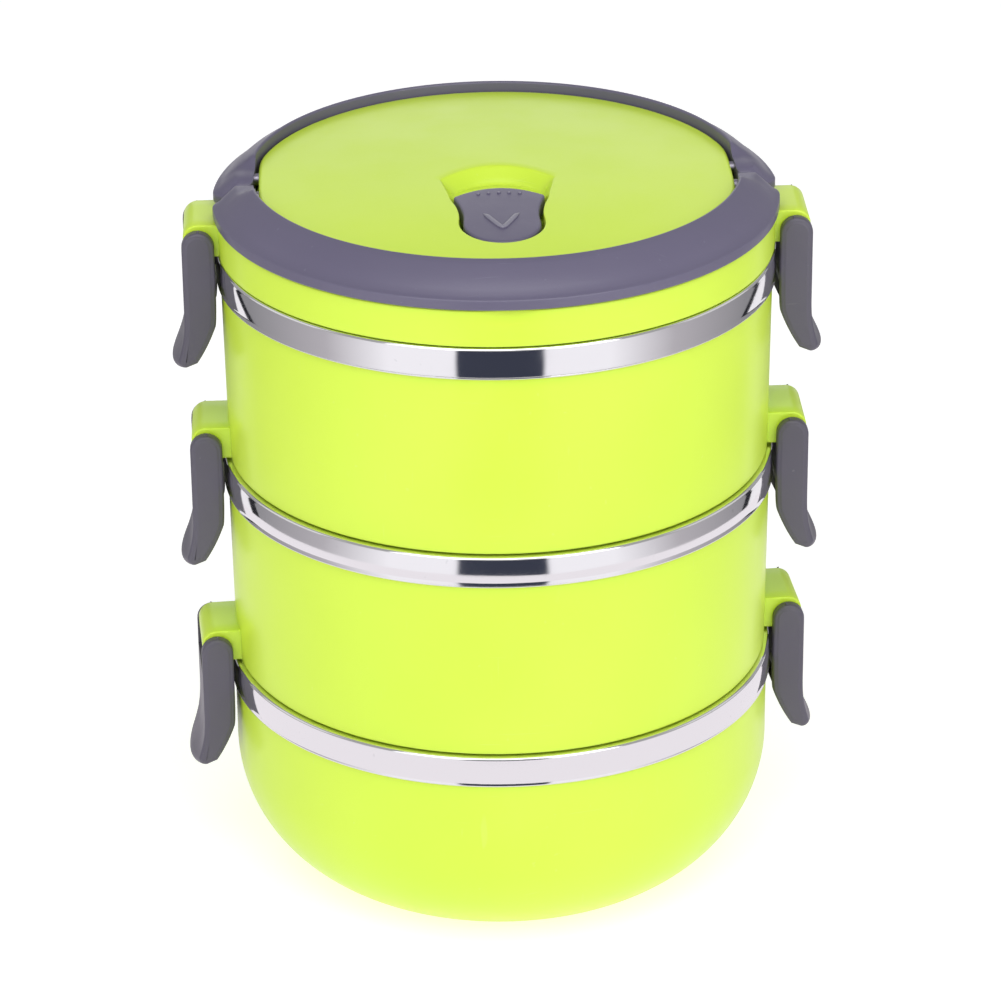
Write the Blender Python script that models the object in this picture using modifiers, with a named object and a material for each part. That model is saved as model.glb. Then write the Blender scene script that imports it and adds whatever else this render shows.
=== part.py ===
"""A three-tier tiffin carrier: stacked food bowls, side clips, and a lid with two folding handles and a vent.

Metres, +Z up. The origin is the centre of the foot's underside, and the front, where the vent button is,
faces -Y. Each tier and the lid hangs on an empty, so a tier that is lifted takes all above it along.
"""

import math

import bmesh
import bpy
from mathutils import Matrix, Vector

MM = 0.001
SEGMENTS = 40
MERGE = 0.00001
PAST = 2.0 * MM  # how far a cutter runs past the surface it cuts

# Fits
GAP = 0.3 * MM
HINGE_PLAY = 0.3 * MM

# The stack
BAND_RADIUS = 72.0 * MM
BAND_HEIGHT = 8.2 * MM
FIRST_SEAT = 60.3 * MM
TIER_PITCH = 56.4 * MM
MIDDLE_TURN = math.radians(4.0)
STEEL = 0.6 * MM
MOUTH_WIDTH = 4.8 * MM
RIM_ROUND = 0.5 * MM

# Green shells
SHELL_WALL = 2.0 * MM
SHELL_DRAFT = 0.7 * MM
SHELL_EDGE = 0.8 * MM
BELLY_ROUND = 37.0 * MM
BELLY_HEIGHT = 33.2 * MM
FOOT_WIDTH = 4.4 * MM
FOOT_HEIGHT = 1.5 * MM

# Steel bowls inside
BELLY_SPACE = 2.0 * MM
BOWL_FLOOR = 6.0 * MM
BOWL_CORNER = 12.0 * MM
BOWL_NARROWING = 1.6 * MM
BOWL_LIFT = 1.0 * MM

# Covers that close each bowl from above, and their seals
PLUG_DEPTH = 3.0 * MM
PLUG_PLAY = 0.8 * MM
PLUG_ROUND = 0.5 * MM
COVER_WALL = 1.8 * MM
SEAL_HEIGHT = 2.0 * MM
SEAL_ROUND = 0.4 * MM
FLANGE_THICK = 1.8 * MM

# Side clips and the lugs that hold them
PIVOT_REACH = BAND_RADIUS + 4.25 * MM
PIVOT_RISE = 3.9 * MM
CLIP_HALF_WIDTH = 12.0 * MM
EAR_THICK = 2.7 * MM
EAR_ROUND = 4.15 * MM
CLIP_WALL = 2.0 * MM
WALL_TOP = 6.9 * MM
HOOK_THICK = 2.6 * MM
TAB_LENGTH = 32.6 * MM
TAB_FLARE = 3.7 * MM
TAB_DROP = 2.6 * MM
TAB_THICK = 5.6 * MM
TIP_ROUND = 1.7 * MM
HEEL_RISE = 2.6 * MM
# (outwards of the ear's back, above the tab's foot), in millimetres
BACK_LINE = ((2.85, 7.5), (0.95, 11.0), (0.15, 14.8))
CHANNEL_FOOT = 7.2 * MM
STUB_RADIUS = 1.5 * MM
STUB_LENGTH = 1.4 * MM
LUG_REACH = 3.75 * MM
LUG_RISE = 5.4 * MM
LUG_DROP = 3.3 * MM
LUG_CORNER = 3.8 * MM

# Lid
SKIRT_RADIUS = BAND_RADIUS - 0.5 * MM
SKIRT_HEIGHT = 9.6 * MM
LID_WALL = 2.2 * MM
PLATE_RADIUS = SKIRT_RADIUS - 9.6 * MM
PLATE_WALL = 3.4 * MM
PLATE_EDGE = 17.6 * MM
PLATE_FILLET = 0.9 * MM
SKIRT_EASE = 0.3 * MM
FLAT_HALF_LENGTH = 20.0 * MM
DOME_RISE = 2.8 * MM
FLAT_REACH = PLATE_RADIUS - 1.5 * MM
SCOOP_WIDTH = 16.0 * MM
SCOOP_HEIGHT = 3.3 * MM
SCOOP_DEPTH = 1.1 * MM

# Folding handles
HANDLE_INNER = PLATE_RADIUS + 0.5 * MM
HANDLE_OUTER = SKIRT_RADIUS + 1.0 * MM
HANDLE_TOP = 20.1 * MM
HANDLE_SHOULDER = 13.1 * MM
HANDLE_BOTTOM = 10.2 * MM
HANDLE_ROUND = 0.5 * MM
HINGE_HEIGHT = 15.5 * MM
HANDLE_END = 6.1 * MM
HINGE_OFFSET = HANDLE_END + GAP
PIN_RADIUS = 1.5 * MM
PIN_GRIP = 4.5 * MM
PIN_TAIL = 1.0 * MM

# Vent button, its pocket, its seal and the finger scoop behind it
BUTTON_REAR = 15.1 * MM
BUTTON_EAR = 11.5 * MM
BUTTON_EAR_SETBACK = 5.2 * MM
BUTTON_WAIST = 9.5 * MM
BUTTON_WAIST_PLACE = 32.0 * MM
BUTTON_WAIST_HALF = 1.0 * MM
BUTTON_EAR_SIDE = 0.8 * MM
BUTTON_LOBE = 9.7 * MM
BUTTON_LOBE_PLACE = 37.0 * MM
BUTTON_FRONT = 47.9 * MM
BUTTON_THICK = 3.4 * MM
BUTTON_SINK = 0.3 * MM
BUTTON_PLAY = 1.0 * MM
BUTTON_AXLE = 1.1 * MM
AXLE_DEPTH = 2.3 * MM
AXLE_LENGTH = 1.3 * MM
POCKET_DEPTH = 7.0 * MM
POCKET_WALL = 2.4 * MM
POCKET_FLOOR = 1.9 * MM
VENT_PLACE = 24.0 * MM
VENT_HOLE = 2.0 * MM
SEAL_RADIUS = 3.2 * MM
SEAL_THICK = 1.3 * MM
NOSE_RADIUS = 1.2 * MM
NOSE_LENGTH = 1.1 * MM
REST_REAR = 0.3 * MM
REST_CORNER = 14.6 * MM
REST_CORNER_PLACE = 9.5 * MM
REST_DEPTH = 3.1 * MM
REST_SLOPE = 5.0 * MM
REST_SIDE_SLOPE = 2.4 * MM
REST_NARROWING = 0.6 * MM

# Where things meet, worked out from the sizes above
SHELL_TOP_RADIUS = BAND_RADIUS - STEEL - GAP
SHELL_BOTTOM_RADIUS = SHELL_TOP_RADIUS - SHELL_DRAFT
BOWL_MOUTH = BAND_RADIUS - STEEL - MOUTH_WIDTH
PLUG_RADIUS = BOWL_MOUTH - PLUG_PLAY
SEAL_INNER = PLUG_RADIUS + GAP
POCKET_HALF = REST_CORNER + POCKET_WALL
EAR_INNER = CLIP_HALF_WIDTH - EAR_THICK
LUG_HALF_WIDTH = EAR_INNER - GAP
HOOK_TOP = PIVOT_RISE + BAND_HEIGHT + GAP
SEATS = [FIRST_SEAT + TIER_PITCH * level for level in range(3)]


def cleared_scene():
    """The part's collection and the cutters' collection, in an emptied scene."""
    for old in list(bpy.data.objects):
        bpy.data.objects.remove(old, do_unlink=True)
    parts = bpy.data.collections.new("tiffin_carrier")
    cutters = bpy.data.collections.new("cutters")
    bpy.context.scene.collection.children.link(parts)
    bpy.context.scene.collection.children.link(cutters)
    return parts, cutters


PARTS, CUTTERS = cleared_scene()


def finish(name, colour, roughness, metallic):
    made = bpy.data.materials.new(name)
    made.use_nodes = True
    shader = made.node_tree.nodes["Principled BSDF"]
    shader.inputs["Base Color"].default_value = (*colour, 1.0)
    shader.inputs["Roughness"].default_value = roughness
    shader.inputs["Metallic"].default_value = metallic
    return made


GREEN = finish("lime_plastic", (0.58, 0.83, 0.06), 0.38, 0.0)
GREY = finish("grey_plastic", (0.15, 0.135, 0.19), 0.42, 0.0)
DARK_GREY = finish("clip_plastic", (0.135, 0.13, 0.165), 0.42, 0.0)
STEEL_FINISH = finish("polished_steel", (0.75, 0.75, 0.77), 0.12, 1.0)
WHITE = finish("inner_plastic", (0.78, 0.78, 0.76), 0.45, 0.0)
SILICONE = finish("silicone", (0.80, 0.81, 0.80), 0.60, 0.0)


def empty(name, place, parent=None, turn=0.0):
    """A frame that pieces hang on."""
    made = bpy.data.objects.new(name, None)
    made.location = place
    made.rotation_euler = (0.0, 0.0, turn)
    made.parent = parent
    made.empty_display_size = 0.01
    PARTS.objects.link(made)
    return made


def piece(name, mesh, material, parent=None, place=(0.0, 0.0, 0.0), turn=0.0):
    made = bpy.data.objects.new(name, mesh)
    made.location = place
    made.rotation_euler = (0.0, 0.0, turn)
    made.parent = parent
    mesh.materials.append(material)
    PARTS.objects.link(made)
    return made


def cutter(name, mesh, parent=None, place=(0.0, 0.0, 0.0), turn=0.0):
    made = bpy.data.objects.new(name, mesh)
    made.location = place
    made.rotation_euler = (0.0, 0.0, turn)
    made.parent = parent
    made.hide_render = True
    made.display_type = "WIRE"
    CUTTERS.objects.link(made)
    return made


def combine(target, operation, other):
    """Cuts, joins or keeps what is common, with the other object."""
    modifier = target.modifiers.new(f"{operation.lower()}_{other.name}", "BOOLEAN")
    modifier.operation = operation
    modifier.solver = "EXACT"
    modifier.object = other


def profile_mesh(name, points, closed):
    """An open or closed line of (radius, height) points in the XZ plane."""
    mesh = bpy.data.meshes.new(name)
    bm = bmesh.new()
    corners = [bm.verts.new((radius, 0.0, height)) for radius, height in points]
    for first, second in zip(corners, corners[1:]):
        bm.edges.new((first, second))
    if closed:
        bm.edges.new((corners[-1], corners[0]))
    bm.to_mesh(mesh)
    bm.free()
    return mesh


def spin_round(target):
    """Turns a profile about the object's own Z axis."""
    screw = target.modifiers.new("turned", "SCREW")
    screw.steps = SEGMENTS
    screw.render_steps = SEGMENTS
    screw.use_merge_vertices = True
    screw.merge_threshold = MERGE
    screw.use_smooth_shade = True


def turned(name, points, material, parent=None, closed=True):
    """A turned piece. The points run down the outer side, top to bottom."""
    made = piece(name, profile_mesh(name, points, closed), material, parent)
    spin_round(made)
    return made


def arc(centre, radius, start, end, count):
    """Points along a circle, angles in degrees."""
    angles = [math.radians(start + (end - start) * step / count) for step in range(count + 1)]
    return [(centre[0] + radius * math.cos(angle), centre[1] + radius * math.sin(angle)) for angle in angles]


def prism(name, outline, low, high, axis="Z"):
    """A flat outline made thick, from low to high along one axis.

    Along Z the outline is (x, y), along Y it is (x, z) and along X it is (y, z).
    """
    places = {
        "Z": lambda a, b, c: (a, b, c),
        "Y": lambda a, b, c: (a, c, b),
        "X": lambda a, b, c: (c, a, b),
    }[axis]
    mesh = bpy.data.meshes.new(name)
    bm = bmesh.new()
    flat = bm.faces.new([bm.verts.new(places(a, b, low)) for a, b in outline])
    raised = bmesh.ops.extrude_face_region(bm, geom=[flat])["geom"]
    shift = Vector(places(0.0, 0.0, high - low))
    bmesh.ops.translate(bm, verts=[v for v in raised if isinstance(v, bmesh.types.BMVert)], vec=shift)
    bmesh.ops.recalc_face_normals(bm, faces=bm.faces)
    bm.to_mesh(mesh)
    bm.free()
    return mesh


def rods(name, radius, spans, axis, sides=12):
    """Separate round rods in one mesh, each from low to high along an axis through (a, b)."""
    turn = {"X": Matrix.Rotation(math.pi / 2, 4, "Y"), "Y": Matrix.Rotation(-math.pi / 2, 4, "X")}.get(axis)
    mesh = bpy.data.meshes.new(name)
    bm = bmesh.new()
    for a, b, low, high in spans:
        middle = (low + high) / 2
        centre = {"X": (middle, a, b), "Y": (a, middle, b), "Z": (a, b, middle)}[axis]
        matrix = Matrix.Translation(centre) @ (turn or Matrix.Identity(4))
        bmesh.ops.create_cone(
            bm,
            cap_ends=True,
            segments=sides,
            radius1=radius,
            radius2=radius,
            depth=high - low,
            matrix=matrix,
        )
    bm.to_mesh(mesh)
    bm.free()
    return mesh


def smooth_sides(target, angle=35.0):
    target.data.shade_smooth()
    target.data.set_sharp_from_angle(angle=math.radians(angle))


# Lugs and clips


def lug_outline(root):
    """A lug seen along the band's edge, from a depth inside the wall out to its rounded face."""
    top = arc((LUG_REACH - LUG_CORNER, LUG_RISE - LUG_CORNER), LUG_CORNER, 90, 0, 5)
    low = arc((LUG_REACH - LUG_DROP, 0.0), LUG_DROP, 0, -90, 5)
    return [(root, LUG_RISE), *top, *low, (root, -LUG_DROP)]


def add_lugs(target, frame, wall_inside, rise):
    """Two lugs, left and right, joined to a wall, with sockets for the clips' stubs."""
    root = wall_inside - PIVOT_REACH
    for side, turn in (("right", 0.0), ("left", math.pi)):
        block_mesh = prism("lug", lug_outline(root), -LUG_HALF_WIDTH, LUG_HALF_WIDTH, "Y")
        for corner in block_mesh.vertices:
            corner.co.x += PIVOT_REACH
        block = cutter(f"{target.name}_lug_{side}", block_mesh, frame, (0, 0, rise), turn)
        combine(target, "UNION", block)
    deep = LUG_HALF_WIDTH - STUB_LENGTH - HINGE_PLAY
    reach = LUG_HALF_WIDTH + GAP
    spans = [
        (place, rise, low, high)
        for place in (PIVOT_REACH, -PIVOT_REACH)
        for low, high in ((-reach, -deep), (deep, reach))
    ]
    sockets = rods("sockets", STUB_RADIUS + HINGE_PLAY, spans, "Y")
    combine(target, "DIFFERENCE", cutter(f"{target.name}_lug_sockets", sockets, frame))


def clip_section(fullness):
    """The clip's outline, (outwards, up) from the pivot; fullness is 1 mid-way and 0 at its sides."""
    flare = TAB_FLARE * fullness
    drop = TAB_DROP * fullness
    foot = -TAB_LENGTH - drop
    crown = arc((0.0, 0.0), EAR_ROUND, 180, 0, 8)
    outer = [
        (EAR_ROUND, foot * 0.47),
        (EAR_ROUND + 0.17 * flare, foot * 0.60),
        (EAR_ROUND + 0.45 * flare, foot * 0.73),
        (EAR_ROUND + 0.78 * flare, foot * 0.86),
    ]
    tip = arc((EAR_ROUND + flare - 0.94 * TIP_ROUND, foot + TIP_ROUND), TIP_ROUND, 10, -110, 4)
    heel = (EAR_ROUND + 0.6 * flare - TAB_THICK * 0.45, foot + HEEL_RISE)
    back = [(-EAR_ROUND + out * MM, -TAB_LENGTH + up * MM) for out, up in BACK_LINE]
    return [*crown, *outer, *tip, heel, *back]


def clip_mesh():
    """A clip lofted from side to side: flat at the ears, swelling into a finger tab in the middle."""
    stations = [-1.0, -0.9, -0.7, -0.45, 0.0, 0.45, 0.7, 0.9, 1.0]
    mesh = bpy.data.meshes.new("side_clip")
    bm = bmesh.new()
    loops = []
    for station in stations:
        section = clip_section(1.0 - station * station)
        loops.append([bm.verts.new((x, station * CLIP_HALF_WIDTH, z)) for x, z in section])
    for near, far in zip(loops, loops[1:]):
        for index in range(len(near)):
            after = (index + 1) % len(near)
            bm.faces.new((near[index], near[after], far[after], far[index]))
    bm.faces.new(loops[0])
    bm.faces.new(loops[-1])
    bmesh.ops.recalc_face_normals(bm, faces=bm.faces)
    bm.to_mesh(mesh)
    bm.free()
    return mesh


def clip_channel():
    """What is cut out between the ears: all of it above the wall, and the room above and below the hook."""
    far = EAR_ROUND * 2
    wall = EAR_ROUND - CLIP_WALL
    hook_tip = BAND_RADIUS + GAP - PIVOT_REACH
    hook_foot = -HOOK_TOP - HOOK_THICK
    floor = -TAB_LENGTH + CHANNEL_FOOT
    return [
        (-far, far),
        (far, far),
        (far, -WALL_TOP),
        (wall, -WALL_TOP),
        (wall, -HOOK_TOP),
        (hook_tip, -HOOK_TOP),
        (hook_tip, hook_foot),
        (wall, hook_foot),
        (wall, floor),
        (-far, floor),
    ]


def add_clips(level_name, frame):
    """The left and right clips of one lug pair."""
    for side, sign, turn in (("right", 1, 0.0), ("left", -1, math.pi)):
        name = f"{level_name}_clip_{side}"
        place = (sign * PIVOT_REACH, 0.0, PIVOT_RISE)
        clip = piece(name, clip_mesh(), DARK_GREY, frame, place, turn)
        channel = prism("channel", clip_channel(), -EAR_INNER, EAR_INNER, "Y")
        combine(clip, "DIFFERENCE", cutter(f"{name}_channel", channel, frame, place, turn))
        start = EAR_INNER + EAR_THICK / 2
        end = LUG_HALF_WIDTH - STUB_LENGTH
        stubs = rods("stubs", STUB_RADIUS, [(0, 0, -start, -end), (0, 0, end, start)], "Y")
        combine(clip, "UNION", cutter(f"{name}_stubs", stubs, frame, place, turn))
        smooth_sides(clip)


# Tiers


def steel_profile(seat, floor, lower):
    """A steel bowl with its rim turned out and down over the shell as a band.

    lower is the bowl's inside below its straight wall, as (radius, height, corner) for the corner arc.
    """
    wall, corner_height, corner = lower
    start = angle_at(corner_height - floor - STEEL, corner)
    inner_arc = arc((wall - corner, corner_height), corner, start, 0, 5)
    outer = corner + STEEL
    outer_arc = arc((wall - corner, corner_height), outer, 0, angle_at(corner_height - floor, outer), 5)
    band_inside = BAND_RADIUS - STEEL
    rim = seat - STEEL
    return [
        (0.0, floor + STEEL),
        *inner_arc,
        (BOWL_MOUTH, seat),
        (BAND_RADIUS - RIM_ROUND, seat),
        (BAND_RADIUS, seat - RIM_ROUND),
        (BAND_RADIUS, seat - BAND_HEIGHT),
        (band_inside, seat - BAND_HEIGHT),
        (band_inside, rim),
        (BOWL_MOUTH + STEEL, rim),
        *outer_arc,
        (0.0, floor),
    ]


def angle_at(drop, radius):
    """The angle below the horizontal, as a negative number of degrees, where an arc has gone down by drop."""
    return -math.degrees(math.asin(min(1.0, drop / radius)))


def shell_profile(bottom, top):
    """A straight green shell, a little narrower at its foot."""
    inside = SHELL_BOTTOM_RADIUS - SHELL_WALL
    return [
        (SHELL_TOP_RADIUS, top),
        (SHELL_BOTTOM_RADIUS, bottom + SHELL_EDGE),
        (SHELL_BOTTOM_RADIUS - 0.3 * SHELL_EDGE, bottom + 0.3 * SHELL_EDGE),
        (SHELL_BOTTOM_RADIUS - SHELL_EDGE, bottom),
        (inside, bottom),
        (SHELL_TOP_RADIUS - SHELL_WALL, top),
    ]


def belly_profile(top):
    """The bottom shell: straight above, one big round below, and a ring foot."""
    centre = (SHELL_TOP_RADIUS - BELLY_ROUND, BELLY_HEIGHT)
    inner_round = BELLY_ROUND - SHELL_WALL
    floor = FOOT_HEIGHT + SHELL_WALL
    outer_arc = arc(centre, BELLY_ROUND, 0, angle_at(BELLY_HEIGHT, BELLY_ROUND), 8)
    inner_arc = arc(centre, inner_round, angle_at(BELLY_HEIGHT - floor, inner_round), 0, 5)
    foot_inner = outer_arc[-1][0] - FOOT_WIDTH
    return [
        (0.0, floor),
        *inner_arc,
        (SHELL_TOP_RADIUS - SHELL_WALL, top),
        (SHELL_TOP_RADIUS, top),
        *outer_arc,
        (foot_inner, 0.0),
        (foot_inner - FOOT_HEIGHT / 2, FOOT_HEIGHT),
        (0.0, FOOT_HEIGHT),
    ]


def cover_profile(outside):
    """A dish that plugs the bowl below its seat, with a flange that holds the seal down."""
    flange = 2 * GAP + SEAL_HEIGHT
    top = flange + FLANGE_THICK
    inside = PLUG_RADIUS - COVER_WALL
    return [
        (0.0, COVER_WALL - PLUG_DEPTH),
        (inside, COVER_WALL - PLUG_DEPTH),
        (inside, top),
        (outside, top),
        (outside, flange),
        (PLUG_RADIUS, flange),
        (PLUG_RADIUS, -PLUG_DEPTH + PLUG_ROUND),
        (PLUG_RADIUS - PLUG_ROUND, -PLUG_DEPTH),
        (0.0, -PLUG_DEPTH),
    ]


def seal_profile(outside):
    """A silicone ring on the steel seat, with a rounded top."""
    top = GAP + SEAL_HEIGHT
    return [
        (SEAL_INNER + SEAL_ROUND, top),
        (outside - SEAL_ROUND, top),
        (outside, top - SEAL_ROUND),
        (outside, GAP),
        (SEAL_INNER, GAP),
        (SEAL_INNER, top - SEAL_ROUND),
    ]


def bottom_tier(frame):
    shell_top = SEATS[0] - STEEL - GAP
    turned("bottom_shell", belly_profile(shell_top), GREEN, frame, closed=False)
    corner = BELLY_ROUND - SHELL_WALL - BELLY_SPACE - STEEL
    lower = (BOWL_MOUTH, BELLY_HEIGHT, corner)
    bowl = steel_profile(SEATS[0], BOWL_FLOOR, lower)
    turned("bottom_steel_bowl", bowl, STEEL_FINISH, frame, closed=False)


def upper_tier(name, frame):
    """One lift-off tier, in the frame of the seat below it."""
    shell_top = TIER_PITCH - STEEL - GAP
    shell = turned(f"{name}_shell", shell_profile(GAP, shell_top), GREEN, frame)
    add_lugs(shell, frame, SHELL_BOTTOM_RADIUS - SHELL_WALL / 2, PIVOT_RISE)
    lower = (BOWL_MOUTH - BOWL_NARROWING, BOWL_LIFT + BOWL_CORNER, BOWL_CORNER - STEEL)
    bowl = steel_profile(TIER_PITCH, BOWL_LIFT, lower)
    turned(f"{name}_steel_bowl", bowl, STEEL_FINISH, frame, closed=False)
    flange = SHELL_BOTTOM_RADIUS - SHELL_WALL - GAP
    turned(f"{name}_base_cover", cover_profile(flange), GREEN, frame, closed=False)
    turned(f"{name}_seal_ring", seal_profile(flange), SILICONE, frame)


# Lid


def dome_height(radius, sink=0.0):
    """Height of the lid plate's domed top above the seat."""
    return PLATE_EDGE + DOME_RISE * (1.0 - (radius / PLATE_RADIUS) ** 2) - sink


def lid_profile():
    deck = GAP + SKIRT_HEIGHT
    under = deck - LID_WALL
    wall_inside = PLATE_RADIUS - PLATE_WALL
    skirt_inside = SKIRT_RADIUS - SHELL_WALL
    shares = [0.0, 0.3, 0.6, 0.85]
    top = [(PLATE_RADIUS * share, dome_height(PLATE_RADIUS * share)) for share in shares]
    below = [(wall_inside * share, dome_height(wall_inside * share, LID_WALL)) for share in reversed(shares)]
    return [
        *top,
        (PLATE_RADIUS - PLATE_FILLET, PLATE_EDGE),
        (PLATE_RADIUS, PLATE_EDGE - PLATE_FILLET),
        (PLATE_RADIUS, deck),
        (SKIRT_RADIUS - SKIRT_EASE, deck),
        (SKIRT_RADIUS, deck - SKIRT_EASE),
        (SKIRT_RADIUS, GAP + SKIRT_EASE),
        (SKIRT_RADIUS - SKIRT_EASE, GAP),
        (skirt_inside, GAP),
        (skirt_inside, under),
        (wall_inside, under),
        (wall_inside, dome_height(wall_inside, LID_WALL)),
        *below,
    ]


def button_outline(margin):
    """Half of the vent button from its rear middle to its front middle, then its mirror image.

    The rear edge is an arc between two ears, the sides draw in to a waist, and the front is a round lobe.
    """
    ear_place = BUTTON_REAR + BUTTON_EAR_SETBACK
    rear_round = (BUTTON_EAR**2 + BUTTON_EAR_SETBACK**2) / (2 * BUTTON_EAR_SETBACK)
    reach = BUTTON_FRONT - BUTTON_LOBE_PLACE
    half = []
    for step in range(4):
        across = BUTTON_EAR * step / 4
        back = rear_round - math.sqrt(rear_round**2 - across**2)
        half.append((across, -(BUTTON_REAR + back - margin)))
    half.append((BUTTON_EAR + margin * 0.4, -(ear_place - margin)))
    half.append((BUTTON_EAR + margin, -(ear_place + BUTTON_EAR_SIDE)))
    half.append((BUTTON_WAIST + margin, -(BUTTON_WAIST_PLACE - BUTTON_WAIST_HALF)))
    half.append((BUTTON_WAIST + margin, -(BUTTON_WAIST_PLACE + BUTTON_WAIST_HALF)))
    for step in range(5):
        angle = math.radians(90.0 * step / 5)
        across = (BUTTON_LOBE + margin) * math.cos(angle)
        half.append((across, -(BUTTON_LOBE_PLACE + (reach + margin) * math.sin(angle))))
    front = (0.0, -(BUTTON_FRONT + margin))
    rest = [(-x, y) for x, y in reversed(half[1:])]
    return [*half, front, *rest]


def rest_cutter():
    """The finger rest behind the button: wide at the plate's top, narrower and flat at its floor."""
    floor = dome_height(BUTTON_REAR) - REST_DEPTH
    above = PLATE_EDGE + DOME_RISE + PAST
    front = BUTTON_REAR + BUTTON_EAR_SETBACK + PAST
    front_half = BUTTON_EAR + BUTTON_PLAY
    rear_round = REST_CORNER_PLACE - REST_REAR
    mesh = bpy.data.meshes.new("finger_rest")
    bm = bmesh.new()
    rings = []
    for height, slope, inset in ((above, -PAST, -PAST / 2), (floor, REST_SLOPE, REST_SIDE_SLOPE)):
        ring = []
        for step in range(-4, 5):
            across = (REST_CORNER - inset) * step / 4
            back = rear_round * (step / 4) ** 2
            ring.append(bm.verts.new((across, -(REST_REAR + slope + back * 0.8), height)))
        narrow = front_half - REST_NARROWING * (height == floor)
        ring.append(bm.verts.new((narrow, -front, height)))
        ring.append(bm.verts.new((-narrow, -front, height)))
        rings.append(ring)
    upper, lower = rings
    bm.faces.new(upper)
    bm.faces.new(lower)
    for index in range(len(upper)):
        after = (index + 1) % len(upper)
        bm.faces.new((upper[index], upper[after], lower[after], lower[index]))
    bmesh.ops.recalc_face_normals(bm, faces=bm.faces)
    bm.to_mesh(mesh)
    bm.free()
    return mesh


def lid_cover(frame):
    lid = turned("lid_cover", lid_profile(), GREEN, frame, closed=False)
    deck = GAP + SKIRT_HEIGHT
    above = PLATE_EDGE + DOME_RISE + 2 * PAST
    add_lugs(lid, frame, SKIRT_RADIUS - SHELL_WALL / 2, PIVOT_RISE)

    # Flats on the plate's two sides, beside the handles' ends
    flat_half = PLATE_RADIUS - FLAT_REACH
    for side, sign in (("right", 1), ("left", -1)):
        low, high = sorted((sign * FLAT_REACH, sign * (FLAT_REACH + flat_half + GAP)))
        outline = [
            (low, -FLAT_HALF_LENGTH),
            (high, -FLAT_HALF_LENGTH),
            (high, FLAT_HALF_LENGTH),
            (low, FLAT_HALF_LENGTH),
        ]
        combine(lid, "DIFFERENCE", cutter(f"flat_{side}", prism("flat", outline, deck, above), frame))

    # Room for the handles' round ends to swing, and holes for their pins
    swing = HANDLE_END + GAP
    for side, sign in (("right", 1), ("left", -1)):
        low, high = sorted((sign * (FLAT_REACH + GAP / 6), sign * (HANDLE_OUTER + GAP)))
        for end, place in (("front", -HINGE_OFFSET), ("rear", HINGE_OFFSET)):
            room = rods("swing", swing, [(place, HINGE_HEIGHT, low, high)], "X", 24)
            combine(lid, "DIFFERENCE", cutter(f"swing_{end}_{side}", room, frame))
    spans = []
    for sign in (1, -1):
        low, high = sorted((sign * (PLATE_RADIUS - PLATE_WALL - PAST), sign * (FLAT_REACH + GAP)))
        spans += [(place, HINGE_HEIGHT, low, high) for place in (-HINGE_OFFSET, HINGE_OFFSET)]
    combine(lid, "DIFFERENCE", cutter("pin_holes", rods("pins", PIN_RADIUS + GAP, spans, "X"), frame))

    # The pocket that the vent button rocks in
    pocket_floor = dome_height(BUTTON_FRONT) - POCKET_DEPTH
    front_half = BUTTON_LOBE + BUTTON_PLAY + POCKET_WALL
    front, rear = -(BUTTON_FRONT + POCKET_WALL), -(REST_REAR - POCKET_WALL)
    outer = [
        (-front_half, front),
        (front_half, front),
        (POCKET_HALF, -BUTTON_WAIST_PLACE),
        (POCKET_HALF, rear),
        (-POCKET_HALF, rear),
        (-POCKET_HALF, -BUTTON_WAIST_PLACE),
    ]
    boss_top = dome_height(BUTTON_FRONT + POCKET_WALL) - LID_WALL / 2
    boss = cutter("pocket_boss", prism("boss", outer, pocket_floor - POCKET_FLOOR, boss_top), frame)
    combine(lid, "UNION", boss)
    well = prism("well", button_outline(BUTTON_PLAY), pocket_floor, above)
    combine(lid, "DIFFERENCE", cutter("pocket_well", well, frame))
    combine(lid, "DIFFERENCE", cutter("finger_rest", rest_cutter(), frame))
    reach = BUTTON_WAIST + BUTTON_PLAY
    axle_height = dome_height(BUTTON_WAIST_PLACE) - BUTTON_SINK - AXLE_DEPTH
    end = reach + AXLE_LENGTH + HINGE_PLAY
    ends = ((-end, -reach + GAP), (reach - GAP, end))
    spans = [(-BUTTON_WAIST_PLACE, axle_height, low, high) for low, high in ends]
    sockets = rods("axle_sockets", BUTTON_AXLE + HINGE_PLAY, spans, "X")
    combine(lid, "DIFFERENCE", cutter("button_sockets", sockets, frame))
    hole = [(0.0, -VENT_PLACE, pocket_floor - 2 * POCKET_FLOOR, pocket_floor + MM)]
    combine(lid, "DIFFERENCE", cutter("vent_hole", rods("vent", VENT_HOLE, hole, "Z", 16), frame))

    # Shallow scoops in the skirt under the middle of each handle
    scoop_round = (SCOOP_WIDTH**2 / 4 + SCOOP_HEIGHT**2) / (2 * SCOOP_HEIGHT)
    spans = []
    for sign in (1, -1):
        low, high = sorted((sign * (SKIRT_RADIUS - SCOOP_DEPTH), sign * (SKIRT_RADIUS + PAST)))
        spans.append((0.0, deck - SCOOP_HEIGHT + scoop_round, low, high))
    combine(lid, "DIFFERENCE", cutter("skirt_scoops", rods("scoops", scoop_round, spans, "Y", 32), frame))


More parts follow.
